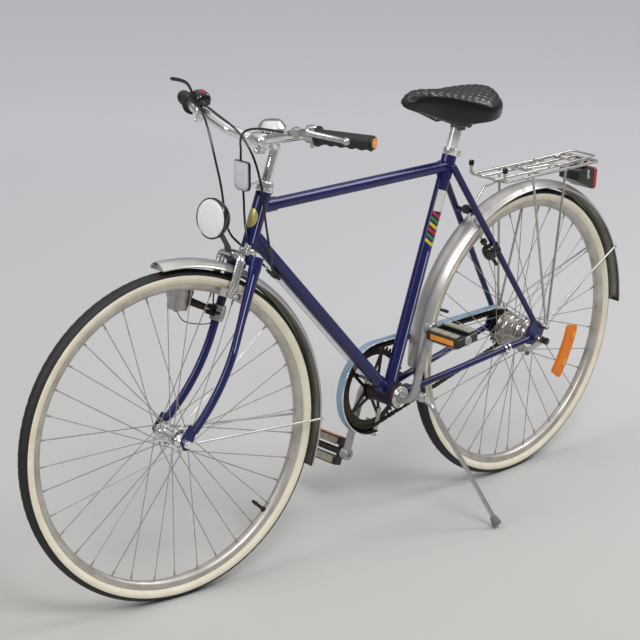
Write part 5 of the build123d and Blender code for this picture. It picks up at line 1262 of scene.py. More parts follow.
def brake_lever():
    """Alloy lever on a clamp, with a ball end and a cable barrel."""
    shape = Shape()
    middle = BAR_END + (BAR_RISE_TOP - BAR_END) * 0.87
    shape.add(turned([(11.15, -9), (14.4, -9), (15, -7.5), (15, 7.5), (14.4, 9), (11.15, 9)], middle,
                     BAR_ALONG, 32))
    shape.add(nut_of(middle - Z * 15 - X * 2, -Z, 4.5, 9))
    body = flowing([middle + (LEVER_PIVOT - middle) * 0.3, middle + (LEVER_PIVOT - middle) * 0.7,
                    LEVER_PIVOT], 6)
    shape.add(tube(body, evenly(9, 6.8, len(body)), 14, squash=0.75))
    shape.add(spun([(0, -8), (8, -8), (9.5, -6.5), (9.5, 6.5), (8, 8), (0, 8)], LEVER_PIVOT, Z, 24))
    shape.add(spun([(0, -10), (4.6, -10), (4.6, 10), (0, 10)], LEVER_PIVOT, Z, 16))
    shape.add(spun([(0, 0), (9.5, 0), (11, 2), (11, 5), (8.5, 8), (0, 9)], middle + Z * 11, Z, 28))
    blade = rounded([LEVER_PIVOT, LEVER_KNEE, LEVER_END], 40, 10)
    widths = []
    for step in range(len(blade)):
        share = step / (len(blade) - 1)
        widths.append(6.4 + 3.4 * sin(pi * share) - 1.2 * share)
    shape.add(tube(blade, widths, 16, squash=0.5, side=(0, 0, 1)))
    shape.add(ball(LEVER_END, 7.5, 20))
    toward = (LEVER_BARREL - LEVER_PIVOT).normalized()
    shape.add(tube([LEVER_PIVOT, LEVER_BARREL], 4.6, 16))
    for step in range(4):
        shape.add(tube([LEVER_BARREL - toward * (2 + 3 * step),
                        LEVER_BARREL - toward * (3.4 + 3 * step)], 5.8, 16))
    piece_of("lever_alloy", shape, "steering", ["alloy"], ["brake_lever"])


brake_lever()


SHIFTER_Y = 170
SHIFTER_PLACE = over_head(37, -SHIFTER_Y, 173)


def shifter():
    """Black gear shifter with a flat curved thumb lever, a bright band and a small clamp screw."""
    share = (SHIFTER_Y - BAR_RISE_FOOT.y) / (BAR_RISE_TOP.y - BAR_RISE_FOOT.y)
    middle = mirrored(BAR_RISE_FOOT + (BAR_RISE_TOP - BAR_RISE_FOOT) * share)
    along = mirrored(BAR_RISE_TOP - BAR_RISE_FOOT).normalized()
    shape = Shape()
    shape.add(turned([(11.15, -7), (14, -7), (14.8, -5.6), (14.8, 5.6), (14, 7), (11.15, 7)], middle,
                     along, 36), 1)
    shape.add(soft_box(middle - Z * 17 + X * 3, (12, 12, 9), X, along, 3), 1)
    bolt(shape, middle - Z * 17 + X * 9, X, 3.6, 5, 1)
    beside = Z.cross(along).normalized()
    forward = beside if beside.x > 0 else -beside
    upper = forward.cross(along) if forward.cross(along).z > 0 else along.cross(forward)
    centre = SHIFTER_PLACE
    rings = []
    for level, grow, edge in ((-14, -3, 7), (-11, 0, 8), (2, 0, 8), (9, -3, 8), (12.6, -6.5, 7),
                              (13.6, -9, 6)):
        pairs = round_outline(17.5 + grow, 18.5 + grow, edge, 4)
        rings.append([centre + forward * x + along * y + upper * level for x, y in pairs])
    shape.add(joined_rings(rings))
    shape.add(soft_box(centre + upper * 13.4 - along * 3, (12, 16, 1.4), forward, along, 3), 2)
    foot = over_head(48, -183, 180)
    shape.add(spun([(0, 0), (9, 0), (9.6, 1.4), (9.6, 5), (8, 6.6), (0, 7)], foot - Z * 4, Z, 28))
    lever = smooth_line([foot, over_head(52, -185, 194), over_head(62, -192, 208),
                         over_head(84, -209, 211)])
    widths = evenly(4, 7.4, len(lever))
    widths[-1] = 4.2
    shape.add(tube(lever, widths, 16, squash=0.45, side=(0, 1, 0)))
    piece_of("shifter_case", shape, "steering", ["gloss_black", "chrome", "red_mark"],
             ["shifter"])


shifter()


# Front brake
LOWER_CUP = 11
CROWN_THICK = 20
CROWN_DEPTH = 27
CROWN_TOP = on_steerer(HEAD_BOTTOM) - STEER_DIR * LOWER_CUP
CROWN_LOW = CROWN_TOP - STEER_DIR * CROWN_THICK
CROWN_MIDDLE = (CROWN_TOP + CROWN_LOW) / 2


def fork_shoulders():
    """Rounded shoulders on top of the two blades."""
    shape = Shape()
    for side in (1, -1):
        profile = [(0, -20), (12.7, -20), (12.9, -12), (12.7, -3), (11.4, 2), (8.4, 5.6), (4, 7.4),
                   (0, 7.8)]
        shape.add(spun(profile, CROWN_TOP - STEER_DIR * 11 + Y * (side * 39), STEER_DIR, 40))
    shape.add(soft_box(CROWN_MIDDLE, (29, 70, 21), STEER_FRONT, Y, 5))
    piece_of("fork_shoulders", shape, "steering", ["navy_gloss"])


fork_shoulders()


BRAKE_PLANE = 9
RIM_TRACK = 309


def front_brake():
    """Caliper of two arms round the tyre, with shoes on the rim's track, a spring and a barrel."""
    shape = Shape()
    front = CROWN_MIDDLE + STEER_FRONT * (CROWN_DEPTH / 2)
    shape.add(tube([front, front + STEER_FRONT * 30], 3.2, 12))
    shape.add(nut_of(front + STEER_FRONT * 22, STEER_FRONT, 6.4, 5))
    shape.add(spun([(0, 0), (7, 0), (7, 1.2), (0, 1.2)], front + STEER_FRONT * 20.6, STEER_FRONT, 24),
              0)
    rise = sqrt(RIM_TRACK ** 2 - (FORK_OFFSET - CROWN_DEPTH / 2 - BRAKE_PLANE) ** 2)
    for side, lag in ((1, 0), (-1, 5)):
        ahead = STEER_FRONT * (CROWN_DEPTH / 2 + BRAKE_PLANE + lag)
        crown = CROWN_MIDDLE + ahead
        foot = STEER_FOOT + STEER_DIR * rise + ahead
        knee = crown + STEER_DIR * 3 + Y * (side * 31)
        wrist = foot + STEER_DIR * 16 + Y * (side * 32)
        hand = foot + Y * (side * 27)
        path = rounded([crown - Y * (side * 10) + STEER_DIR * 3, knee, wrist, hand], [12, 24], 8)
        for shift in (-4.2, 4.8):
            lane = [point + STEER_FRONT * (shift + 10) for point in path]
            shape.add(tube(lane, evenly(5.6, 4.8, len(path)), 14))
        shape.add(soft_box(hand + STEER_DIR * 10 + STEER_FRONT * 8 + Y * side, (18, 8, 30), STEER_FRONT,
                           Y, 3), 0)
        shape.add(soft_box(hand + STEER_DIR * 3 + STEER_FRONT * 26 - Y * (side * 3), (18, 7, 17),
                           STEER_FRONT, Y, 2), 0)
        pad = foot + Y * (side * 19.5)
        shape.add(soft_box(pad, (42, 9, 10), STEER_FRONT, Y, 2.5), 1)
        shape.add(soft_box(pad + Y * (side * 4.6), (46, 2.4, 12.5), STEER_FRONT, Y, 1))
        shape.add(tube([pad + Y * (side * 4), pad + Y * (side * 18)], 3, 10))
        shape.add(nut_of(pad + Y * (side * 11), Y * side, 5.4, 5))
    upper = CROWN_MIDDLE + STEER_FRONT * (CROWN_DEPTH / 2 + BRAKE_PLANE)
    arm = [upper + Y * 4, upper + Y * 22 + STEER_DIR * 10, upper + Y * 34 + STEER_DIR * 13]
    shape.add(tube(rounded(arm, 14, 6), 4.4, 12, squash=0.6, side=STEER_DIR))
    outer = upper + STEER_FRONT * 5
    lower_arm = [outer, outer + Y * 24 - STEER_DIR * 4, outer + Y * 37 - STEER_DIR * 8]
    shape.add(tube(rounded(lower_arm, 14, 6), 4.2, 12, squash=0.6, side=STEER_DIR))
    barrel = upper + Y * 32 + STEER_DIR * 10
    shape.add(tube([barrel, barrel + STEER_DIR * 20], 4.2, 12))
    shape.add(spun([(0, 0), (6, 0), (6, 5), (0, 5)], barrel + STEER_DIR * 8, STEER_DIR, 20))
    rows = ((4, -26, -4), (5, -10, 9), (5, 10, 9), (4, 26, -4))
    spring = [upper - STEER_FRONT * back + Y * across + STEER_DIR * over for back, across, over in rows]
    shape.add(tube(flowing(spring, 8), 1.3, 8))
    piece_of("caliper_chrome", shape, "steering", ["brake_alloy", "black_rubber"],
             ["front_brake"])


front_brake()


# Dynamo
DYNAMO_ANGLE = radians(100.5)
DYNAMO_REACH = 252
DYNAMO_Y = -46


def dynamo():
    """Bottle with a knurled roller, its bracket and clamp on the right fork blade, and its lead."""
    outward = radial(DYNAMO_ANGLE)
    centre = FRONT_HUB + outward * DYNAMO_REACH + Y * DYNAMO_Y
    shape = Shape()
    body = [(0, 0), (15, 0), (17.5, 1.5), (18.5, 5), (19, 8), (19, 40), (18.4, 44), (19, 46),
            (18.6, 52), (15, 57), (9.5, 60)]
    shape.add(spun(body + [(8.6, 62), (8.6, 72), (0, 72)], centre, outward, 48))
    shape.add(spun([(0, 72), (8, 72), (11, 73), (11, 85), (8, 86), (0, 86)], centre, outward, 36), 1)
    first, second = across_pair(outward)
    for step in range(24):
        around = 2 * pi * step / 24
        out = first * cos(around) + second * sin(around)
        shape.add(tube([centre + outward * 74 + out * 10.9, centre + outward * 84.5 + out * 10.9], 0.8,
                       5), 1)
    shape.add(spun([(0, -4), (4, -4), (4.6, -2), (4.6, 0.4), (0, 0.4)], centre, outward, 16), 2)
    piece_of("dynamo_bottle", shape, "steering", ["alloy", "dark_steel", "black_plastic"])
    fittings = Shape()
    middle = on_blade(0.3, -1)
    belly = centre + outward * 27
    along = (middle - belly).normalized()
    side_way = along.cross(outward).normalized()
    fittings.add(soft_box(belly + along * 23, (12, 14, 44), along, side_way, 2.5))
    fittings.add(tube([belly + along * 26, middle - along * 12], [8.5, 6.5], 16, squash=0.7,
                      side=outward), 1)
    fittings.add(soft_box(middle - along * 17, (16, 20, 22), along, side_way, 3), 1)
    band = [(12.4, -11), (15.2, -10), (15.6, 0), (15.2, 10), (12.4, 11)]
    fittings.add(turned(band, middle, STEER_DIR, 40), 2)
    front_side = (STEER_FRONT * 0.6 + Y * 0.8).normalized()
    fittings.add(soft_box(middle + front_side * 17, (7, 8, 16), front_side, STEER_DIR.cross(front_side),
                          1.5), 2)
    bolt(fittings, middle + front_side * 19, front_side, 4, 5, 1)
    loop = [belly - outward * 26 - along * 2, belly - outward * 44 + along * 26,
            middle - STEER_DIR * 26 + STEER_FRONT * 14,
            middle - STEER_DIR * 6 + STEER_FRONT * 16]
    fittings.add(tube(flowing(loop, 10), 1.1, 8), 3)
    lead = [middle + STEER_FRONT * 15 + STEER_DIR * 8, middle + STEER_FRONT * 22 + STEER_DIR * 34,
            middle + STEER_FRONT * 24 + STEER_DIR * 62]
    fittings.add(tube(flowing(lead, 8), 1.6, 8), 3)
    piece_of("dynamo_clamp", fittings, "steering",
             ["rusty_steel", "dark_steel", "alloy", "gloss_black"])


dynamo()


# Handlebar, stem and headset
BAR = 11.1
BAR_FLAT = 32
STEM_HEIGHT = HEAD_TOP + 94
UPPER_CUP = 9
HEAD_NUT_THICK = 9
NUT_LOW = on_steerer(HEAD_TOP) + STEER_DIR * (UPPER_CUP + 0.05)
NUT_TOP = NUT_LOW + STEER_DIR * HEAD_NUT_THICK


def handlebar():
    """Swept bar that rises from its flat middle."""
    half = [BAR_END, BAR_RISE_TOP, BAR_RISE_FOOT, BAR_MIDDLE + Y * BAR_FLAT]
    route = half + [mirrored(point) for point in reversed(half)]
    shape = Shape()
    shape.add(tube(rounded(route, 30, 10), BAR, 28))
    piece_of("bar_tube", shape, "steering", ["chrome"], ["handlebar"])


def stem():
    """Bent quill with a clamp round the bar, and a collar on the nut."""
    top = on_steerer(STEM_HEIGHT)
    shape = Shape()
    ahead = (BAR_MIDDLE - top).normalized()
    low = NUT_TOP - STEER_DIR * 50
    path = rounded([low, top + STEER_DIR * 2, BAR_MIDDLE - ahead * 8], 16, 10)
    shape.add(tube(path, 11.05, 28))
    profile = both_ends([(11.15, -19), (15, -19), (16.6, -17), (17, -14), (17, 0)])
    shape.add(turned(profile, BAR_MIDDLE, Y, 40))
    under = BAR_MIDDLE - Z * 16
    shape.add(soft_box(under - Z * 3, (15, 18, 12), X, Y, 3))
    bolt(shape, under - Z * 3 + X * 7, X, 5, 6)
    collar = [(11.1, 0), (14.4, 0), (15, 1.2), (14.4, 2.8), (12.6, 4), (11.1, 4)]
    shape.add(turned(collar, NUT_TOP + STEER_DIR * 0.1, STEER_DIR, 40))
    piece_of("stem_quill", shape, "steering", ["chrome"], ["stem"])


def headset():
    """Bearing cups at both ends of the head tube, and the nut above them."""
    cups = Shape()
    upper = [(12.75, 0), (16, 0), (17, 0.6), (18.6, 2.4), (19, 3.6), (18.6, 5.2), (17, 5.8), (17, 6.6),
             (18.4, 7), (18.4, 8.6), (17.8, 9), (12.75, 9)]
    cups.add(turned(upper, on_steerer(HEAD_TOP), STEER_DIR, 48))
    lower = [(12.75, -11), (17.5, -11), (19, -9.6), (19, -7.6), (17.4, -6.6), (17.4, -5.6),
             (18.8, -4.6), (18.4, -2.6), (16, 0), (12.75, 0)]
    cups.add(turned(lower, on_steerer(HEAD_BOTTOM), STEER_DIR, 48))
    piece_of("headset_rings", cups, "frame", ["chrome"], ["headset_cups"])
    nut = Shape()
    nut.add(turned([(12.75, 0), (16.8, 0), (16.8, 1.6), (12.75, 1.6)], NUT_LOW, STEER_DIR, 40))
    nut.add(turned([(12.75, 2), (15.4, 2), (15.4, 3.2), (12.75, 3.2)], NUT_LOW, STEER_DIR, 40))
    nut.add(hexagon(NUT_LOW, STEER_DIR, 17, ((3.4, 1), (8.2, 1), (9, 0.9))))
    piece_of("headset_locknut", nut, "steering", ["chrome"], ["headset_nut"])


handlebar()
stem()


# Cables
BRAKE_MIDDLE = CROWN_MIDDLE + STEER_FRONT * (CROWN_DEPTH / 2 + BRAKE_PLANE)
BARREL_TOP = BRAKE_MIDDLE + STEER_DIR * 20 + Y * 20
BRAKE_ROUTE = [
    LEVER_BARREL, over_head(54, 120, 148), over_head(57, 80, 147), over_head(65, 50, 143),
    over_head(68, 28, 133),
    over_head(61, 8, 112), over_head(48, -8, 92), over_head(41.5, -20, 66.6), over_head(38, -16, 6),
    over_head(49, 2, -52), BARREL_TOP + STEER_DIR * 18, BARREL_TOP,
]
DOWN_TUBE_FRONT = on_steerer(HEAD_BOTTOM + 27)
DOWN_ALONG = (BRACKET - DOWN_TUBE_FRONT).normalized()
DOWN_UNDER = Vector((-DOWN_ALONG.z, 0, DOWN_ALONG.x))
STOP_AHEAD = 96
STOP_SIDE = 6


def on_down_tube(distance, below, across):
    """Place by the down tube, from its front end."""
    return DOWN_TUBE_FRONT + DOWN_ALONG * distance + DOWN_UNDER * below + Y * across


def turned_with_bar(point):
    """Where a point of the steering lies at rest, in the frame's own upright lengths."""
    return UPRIGHT.inverted() @ (STEERED @ point)


HOUSING_STARTS = [SHIFTER_PLACE + Vector((9, 19, -7)), SHIFTER_PLACE + Vector((9, 9.5, -14))]
HOUSING_ROUTES = [
    [over_head(42, -90, 145), over_head(41, -42, 129), over_head(38, -8, 101), over_head(32, 12, 62),
     over_head(26, 24, 10), over_head(26, 32, -40), over_head(12, 32, -103), over_head(-9, 22, -145)],
    [over_head(44, -130, 134), over_head(52, -104, 99), over_head(56, -84, 58), over_head(59, -62, 10),
     over_head(62, -48, -40), over_head(58, -40, -84), over_head(30, -34, -112),
     over_head(0, -22, -140)],
]


HOUSING_RADIUS = 2.4
STOP_BELOW = 20.3


def cables():
    """Brake cable on the steering, and the two gear housings that bend between the bar and the frame."""
    line = smooth_line(BRAKE_ROUTE)
    brake = Shape()
    brake.add(tube(line, HOUSING_RADIUS, 14))
    first = line[0]
    last = line[-1]
    tip = (first - line[3]).normalized()
    brake.add(tube([first - tip * 14, first], [3.2, 3.4], 16), 1)
    brake.add(tube([last - STEER_DIR * 24, last + STEER_DIR * 2], 1.0, 8), 1)
    brake.add(tube([last + STEER_DIR * 12, last + STEER_DIR], 3.2, 16), 1)
    piece_of("brake_housing", brake, "steering", ["gloss_black", "chrome"],
             ["brake_cable"])
    for index, route in enumerate(HOUSING_ROUTES):
        side = 1 if index == 0 else -1
        start = turned_with_bar(HOUSING_STARTS[index])
        end = on_down_tube(STOP_AHEAD, STOP_BELOW, side * STOP_SIDE)
        line = smooth_line([start] + route + [end])
        shape = Shape()
        shape.add(tube(line, HOUSING_RADIUS, 14))
        boot = (line[2] - line[0]).normalized()
        shape.add(tube([line[0] - boot * 3, line[0] + boot * 6, line[0] + boot * 20], [5.4, 5.0, 3.2],
                       16), 0)
        shape.add(tube([line[-1] - DOWN_ALONG * 10, line[-1]], [2.9, 3.2], 16), 1)
        name = "gear_housing_left" if index == 0 else "gear_housing_right"
        piece = piece_of(name, shape, None, ["gloss_black", "chrome"],
                         ["gear_housings"] if index == 0 else ())
        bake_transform(piece)


def cable_stops():
    """Two ribbed stops on a block under the down tube, and the bare wires behind them."""
    shape = Shape()
    for side in (1, -1):
        start = on_down_tube(STOP_AHEAD, STOP_BELOW, side * STOP_SIDE)
        shape.add(tube([start, start + DOWN_ALONG * 10], 5.4, 16))
        shape.add(tube([start + DOWN_ALONG * 10, start + DOWN_ALONG * 32], [4.2, 3.2], 16))
        for step in range(3):
            place = start + DOWN_ALONG * (12 + 5 * step)
            shape.add(tube([place, place + DOWN_ALONG * 2.4], 4.8, 16))
    middle = on_down_tube(STOP_AHEAD + 12, 16.5, 0)
    shape.add(soft_box(middle, (26, 15, 5), DOWN_ALONG, Y, 2))
    piece_of("stop_block", shape, "frame", ["black_plastic"], ["cable_stops"])
    wires = Shape()
    length = (BRACKET - DOWN_TUBE_FRONT).length
    for across in (STOP_SIDE, -STOP_SIDE):
        last = on_down_tube(length - 66, STOP_BELOW, across)
        wires.add(tube([on_down_tube(STOP_AHEAD + 24, STOP_BELOW, across), last], 0.9, 8))
        ferrule = [on_down_tube(length - 78, STOP_BELOW, across), on_down_tube(length - 66, 18, across)]
        wires.add(tube(ferrule, 2.2, 10))
    piece_of("gear_inner_wires", wires, "frame", ["spoke_steel"], ["gear_wires"])


# Front reflector
def front_reflector():
    """Ribbed clear plate in a thin dark tray, on a strip from the headset."""
    middle = over_head(48, 0, 40)
    shape = Shape()
    edge = []
    for corner_y, corner_z, first, radius in ((20, 24, 0, 6), (-20, 24, pi / 2, 6), (-13, -17, pi, 13),
                                              (13, -17, 3 * pi / 2, 13)):
        for step in range(7):
            angle = first + pi / 2 * step / 6
            edge.append((corner_y + radius * cos(angle), corner_z + radius * sin(angle)))
    tray = ((0.2, 0.96), (0.2, 1), (5.4, 1), (5.4, 0.955))
    plate = ((5.2, 0.95), (6.3, 0.95), (6.8, 0.9))
    for mark, levels in enumerate((tray, plate)):
        rings = []
        for ahead, share in levels:
            rings.append([middle + X * ahead + Y * (y * share) + Z * (z * share) for y, z in edge])
        shape.add(joined_rings(rings), mark)
    for rib in range(-5, 6):
        y = rib * 4.1
        reach = 23.5 if abs(y) < 14 else 19
        face = middle + X * 6.3 + Y * y
        shape.add(tube([face - Z * (reach + 1), face + Z * 26], 1.3, 8, squash=0.6, side=(0, 1, 0)), 3)
    foot = on_steerer(HEAD_TOP + 18, 15)
    bends = [middle + X * x + Z * z for x, z in ((-8, -24), (-1.2, -14), (-1.2, 6))]
    shape.add(tube(rounded([foot] + bends, 8, 6), 6, 12, squash=0.22, side=(0, 1, 0)), 2)
    shape.add(turned([(13, 0), (17.4, 0), (17.4, 1.6), (13, 1.6)], NUT_LOW + STEER_DIR * 1.7, STEER_DIR,
                     36), 2)
    piece_of("reflector_front", shape, "steering",
             ["gloss_black", "reflector_back", "chrome", "clear_reflector"],
             ["front_reflector"])


cables()
cable_stops()
front_reflector()
headset()


# Crank, cups and chain guard


def crank():
    """One-piece crank, round at its bends and flatter near the eyes."""
    ends = [crank_eye(side) for side in (1, -1)]
    roots = [BRACKET + Y * (side * 74) for side in (1, -1)]
    path = rounded([ends[0], roots[0], roots[1], ends[1]], 26, 12)
    shape = Shape()
    shape.add(tube(path, 9, 24))
    for end, side in zip(ends, (1, -1)):
        eye = [(5.2, -9.5), (12.6, -9.5), (14, -8), (14, 8), (12.6, 9.5), (5.2, 9.5)]
        shape.add(turned(eye, end, Y, 40))
        shape.add(turned([(5.0, -9.6), (7.6, -9.6), (7.6, -8), (5.0, -8)], end, Y, 24), 1)
    shape.add(nut_of(BRACKET + Y * 41.3, Y, 14, 5))
    shape.add(turned([(9, 46.4), (12.4, 46.4), (12.4, 48), (9, 48)], BRACKET, Y, 32))
    shape.add(turned([(9, -48.6), (14, -48.6), (15, -47.4), (15, -44.2), (9, -44.2)], BRACKET, Y, 32),
              0)
    piece_of("crank_arms", shape, "crankset", ["crank_grey", "dark_steel"], ["crank"])
    cups = Shape()
    for side in (1, -1):
        ring = [(9.2, 27), (17, 27), (17, 34.1), (26.5, 34.1), (27.2, 35), (27, 36.8), (25.6, 37.6),
                (9.2, 37.6)]
        dome = [(9.2, 37.7), (24.6, 37.7), (25, 38.4), (23.6, 40.6), (20.4, 41), (19.6, 39.8),
                (17.6, 39.4), (16.6, 40.8), (9.2, 41)]
        for profile, mark in ((ring, 0), (dome, 1)):
            placed = [(radius, side * along) for radius, along in profile]
            if side < 0:
                placed.reverse()
            cups.add(turned(placed, BRACKET, Y, 48), mark)
    piece_of("bracket_rings", cups, "frame", ["brown_ring", "brake_alloy"], ["bracket_cups"])
    sleeve = Shape()
    sleeve.add(turned([(20.1, -34), (25, -34), (26, -33), (26, 33), (25, 34), (20.1, 34)], BRACKET, Y,
                      56), 0)
    piece_of("bracket_sleeve", sleeve, "frame", ["darker_navy"])


GUARD_RADIUS_IN = 106
GUARD_Y = -53.5


def chain_guard():
    """Blue strip with a bright bead, round the front of the ring and back over the chain, its inner faces dark
    with dirt and painted shade.
    """
    knee = Vector((250, GUARD_Y, 57))
    rear = Vector((20, GUARD_Y, 57))
    centre = BRACKET + Y * GUARD_Y
    away = knee - centre
    reach = hypot(away.x, away.z)
    touch = atan2(away.z, away.x) - (pi / 2 - asin(GUARD_RADIUS_IN / reach))
    last = radians(-98)
    shape = Shape()
    outline = [(19.2, 1.6), (0.8, 1.6), (0.2, 1.2), (0, 0.2), (0, -22.6), (1.4, -22.6), (1.4, 0),
               (19.2, 0)]
    inside = 4
    bend = centre + radial(touch) * GUARD_RADIUS_IN
    runs = [(knee + (bend - knee) * (step / 20), radial(touch)) for step in range(21)]
    for step in range(1, 61):
        out = radial(touch + (last - touch) * step / 60)
        runs.append((centre + out * GUARD_RADIUS_IN, out))
    rings = []
    for point, out in runs:
        rings.append([point + Y * y + out * rise for y, rise in outline])
    shape.points, shape.faces = joined_rings(rings)
    count = len(outline)
    for face in shape.faces:
        # The inner faces take the near-black colour, partly dirt and partly painted shade.
        shape.marks.append(2 if len(face) > 4 else int(face[0] % count >= inside))
    bead = [point + Y * 19.6 + out * 0.9 for point, out in runs]
    shape.add(tube(bead, 1.5, 10), 3)
    tip, out = runs[-1]
    ahead = (tip - runs[-2][0]).normalized()
    shape.add(slab([(0, 0), (0, -23), (1.2, -23), (1.2, 0)], 0, 19, tip, ahead, out), 2)
    aside = (knee - rear).normalized()
    over = Vector((-aside.z, 0, aside.x))
    for low, high, mark, inner in ((1.0, -0.4, 0, 19.6), (-0.4, -15, 2, 1.4)):
        corners = [over * high, over * low, over * low + Y * inner, over * high + Y * inner]
        shape.add(joined_rings([[end + corner for corner in corners] for end in (rear, knee)]), mark)
    shape.add(tube([rear + Y * 19.6, knee + Y * 19.6], 1.3, 8), 3)
    strap = Vector((418, -46, -137))
    strap_up = Vector((-13, 0, 62)).normalized()
    shape.add(soft_box(strap, (66, 3, 13), strap_up, Y, 1), 2)
    clip = Vector((130, GUARD_Y - 1.25, 0))
    high = knee.z - 12
    shape.add(tube([clip + Z * high, clip - Z * 7 + Y * 1.25], 2.4, 12), 3)
    piece_of("guard_strip", shape, "frame", ["light_blue", "guard_inside_dirt_and_shade", "worn_chrome", "chrome"],
             ["chain_guard"])


crank()
chain_guard()


# Rack, tail lamp, lock and seat clamp
RACK_FRONT = 134
RACK_BACK = -206
RACK_BACK_Z = 390
RACK_FRONT_Z = 392
PEG_TALL = 30
RACK_HALF = 50
RACK_ROD = 3.6


def on_rack(x, y, over=0.0):
    """Place on the rack's deck, or over it."""
    share = (x - RACK_BACK) / (RACK_FRONT - RACK_BACK)
    return Vector((x, y, RACK_BACK_Z + (RACK_FRONT_Z - RACK_BACK_Z) * share + over))


def rack():
    """Wire deck with pegs, legs, a strut and a sprung clip."""
    shape = Shape()
    front = [on_rack(RACK_FRONT, RACK_HALF, PEG_TALL), on_rack(RACK_FRONT, RACK_HALF)]
    back = on_rack(RACK_BACK, RACK_HALF)
    loop = front + [back, mirrored(back)] + [mirrored(point) for point in reversed(front)]
    shape.add(tube(rounded(loop, 9, 6), RACK_ROD, 12))
    for side in (1, -1):
        tip = on_rack(RACK_FRONT, side * RACK_HALF, PEG_TALL)
        shape.add(spun([(0, -9), (5.4, -9), (6.2, -8), (6.2, 0), (5.2, 2.4), (0, 3)], tip, Z, 20), 1)
        rail = [on_rack(RACK_FRONT, side * 20), on_rack(RACK_BACK, side * 20)]
        shape.add(tube(rail, RACK_ROD - 0.4, 12))
    for x in (RACK_FRONT - 8, 0, RACK_BACK / 2):
        shape.add(tube([on_rack(x, -RACK_HALF, -1), on_rack(x, RACK_HALF, -1)], RACK_ROD - 0.4, 12))
    for side in (1, -1):
        foot = Vector((-21, side * 73.8, 25))
        shape.add(tube([foot - Y * (side * 8.6), foot + Y * (side * 4.2)], 5.6, 16))
        bolt(shape, foot + Y * (side * 2), Y * side, 4.2, 5, 0)
        for x in (34, -84):
            top = on_rack(x, side * RACK_HALF, -4)
            shape.add(tube([foot, top], RACK_ROD - 0.6, 12))
            shape.add(ball(top, 3.9, 12))
    strut = rounded([Vector((184, 12, 350)), Vector((160, 14, 380)), Vector((114, 20, 389))], 14, 8)
    shape.add(tube(strut, 3, 12))
    clip = ((-70, 34, 7), (-216, 34, 9), (-216, -34, 9), (-70, -34, 7))
    inner = ((-70, 34, 7), (-60, 20, 7), (20, 16, 9), (26, 0, 9), (20, -16, 9), (-60, -20, 7),
             (-70, -34, 7))
    for places in (clip, inner):
        shape.add(tube(rounded([on_rack(*place) for place in places], 10, 6), 2.6, 12))
    hinge = [on_rack(-150, -RACK_HALF, 4), on_rack(-150, RACK_HALF, 4)]
    shape.add(tube(hinge, 2.6, 12))
    for side in (1, -1):
        coil = []
        for step in range(49):
            angle = 2 * pi * step / 10
            coil.append(on_rack(-150, side * (22 + step * 0.36),
                                5) + X * (5.2 * cos(angle)) + Z * (5.2 * sin(angle)))
        shape.add(tube(coil, 1.3, 6))
    piece_of("rack_wires", shape, "frame", ["rack_steel", "gloss_black"], ["rack"])


def eased_plate(outline, half, ease, place=(0, 0, 0)):
    """Upright plate whose rims are eased, from an outline of forward and up pairs."""
    middle_x = sum(point[0] for point in outline) / len(outline)
    middle_z = sum(point[1] for point in outline) / len(outline)
    rings = []
    for y, inset in ((-half, ease), (-half + ease, 0), (half - ease, 0), (half, ease)):
        ring = []
        for x, z in outline:
            away = Vector((x - middle_x, z - middle_z))
            kept = away * (1 - inset / max(away.length, 1))
            ring.append(Vector(place) + Vector((middle_x + kept.x, y, middle_z + kept.y)))
        rings.append(ring)
    return joined_rings(rings)


def tail_lamp():
    """Black case with a grooved red lens, a screw and a foot under the rack."""
    shape = Shape()
    body = [(-161, 367), (-221, 367.6), (-223, 366), (-220, 319), (-222, 317), (-214, 318.4),
            (-161, 346)]
    shape.add(eased_plate(body, 30, 2.5))
    lens = [(-221, 367), (-230, 367), (-232, 364), (-230.5, 320), (-227, 316.4), (-219, 317.6)]
    shape.add(eased_plate(lens, 29.6, 2), 1)
    for rise in range(5):
        shape.add(soft_box(Vector((-231, 0, 324 + rise * 9)), (1.6, 50, 2), X, Y, 0.6, 2), 1)
    shape.add(soft_box(Vector((-196, 30.6, 356)), (9, 2, 20), X, Y, 1), 2)
    shape.add(spun([(0, 0), (4.4, 0), (4, 1.6), (0, 2.4)], Vector((-196, 31.4, 350)), Y, 20), 2)
    shape.add(soft_box(Vector((-206, 0, 379)), (14, 30, 22), X, Y, 3))
    shape.add(eased_plate([(-163, 366), (-185, 366), (-185, 369), (-163, 369)], 24, 1), 2)
    piece_of("lamp_tail", shape, "frame", ["black_plastic", "red_lens", "worn_chrome"],
             ["tail_lamp"])


def on_seat_stay(share, side):
    """Place on a seat stay, from the seat tube down."""
    root = on_seat_tube(443) + Y * (side * 20)
    end = Vector((13.6, side * 62.5, 46))
    return root + (end - root) * share


def frame_lock():
    """Lock on the left seat stay, with its key and bolt."""
    along = (on_seat_stay(1, 1) - on_seat_stay(0, 1)).normalized()
    ahead = Vector((-along.z, 0, along.x))
    middle = on_seat_stay(0.5, 1) + ahead * 21
    shape = Shape()
    profile = [(0, -19), (7, -18.6), (12, -15), (15, -9), (15.8, 0), (15, 8), (12, 14), (7, 17.6),
               (0, 18)]
    shape.add(spun(profile, middle, along, 32))
    shape.add(soft_box(middle - ahead * 13, (12, 15, 26), ahead, Y, 4))
    stay = on_seat_stay(0.5, 1)
    for low, high in ((-6, 6), (10, 16)):
        shape.add(turned([(7.6, low), (9.6, low), (9.6, high), (7.6, high)], stay, along, 28), 2)
    key = middle - along * 18
    shape.add(tube([key, key - along * 12], 3.2, 12), 1)
    shape.add(spun([(0, 0), (7, 0), (8, 2), (8, 7), (6.5, 9), (0, 10)], key - along * 11, -along, 24),
              0)
    bar_top = middle + along * 14
    shape.add(tube([bar_top, bar_top + along * 26 - ahead * 2], [4.4, 4.0], 16), 1)
    piece_of("lock_body", shape, "frame", ["gloss_black", "dark_steel", "black_plastic"],
             ["frame_lock"])


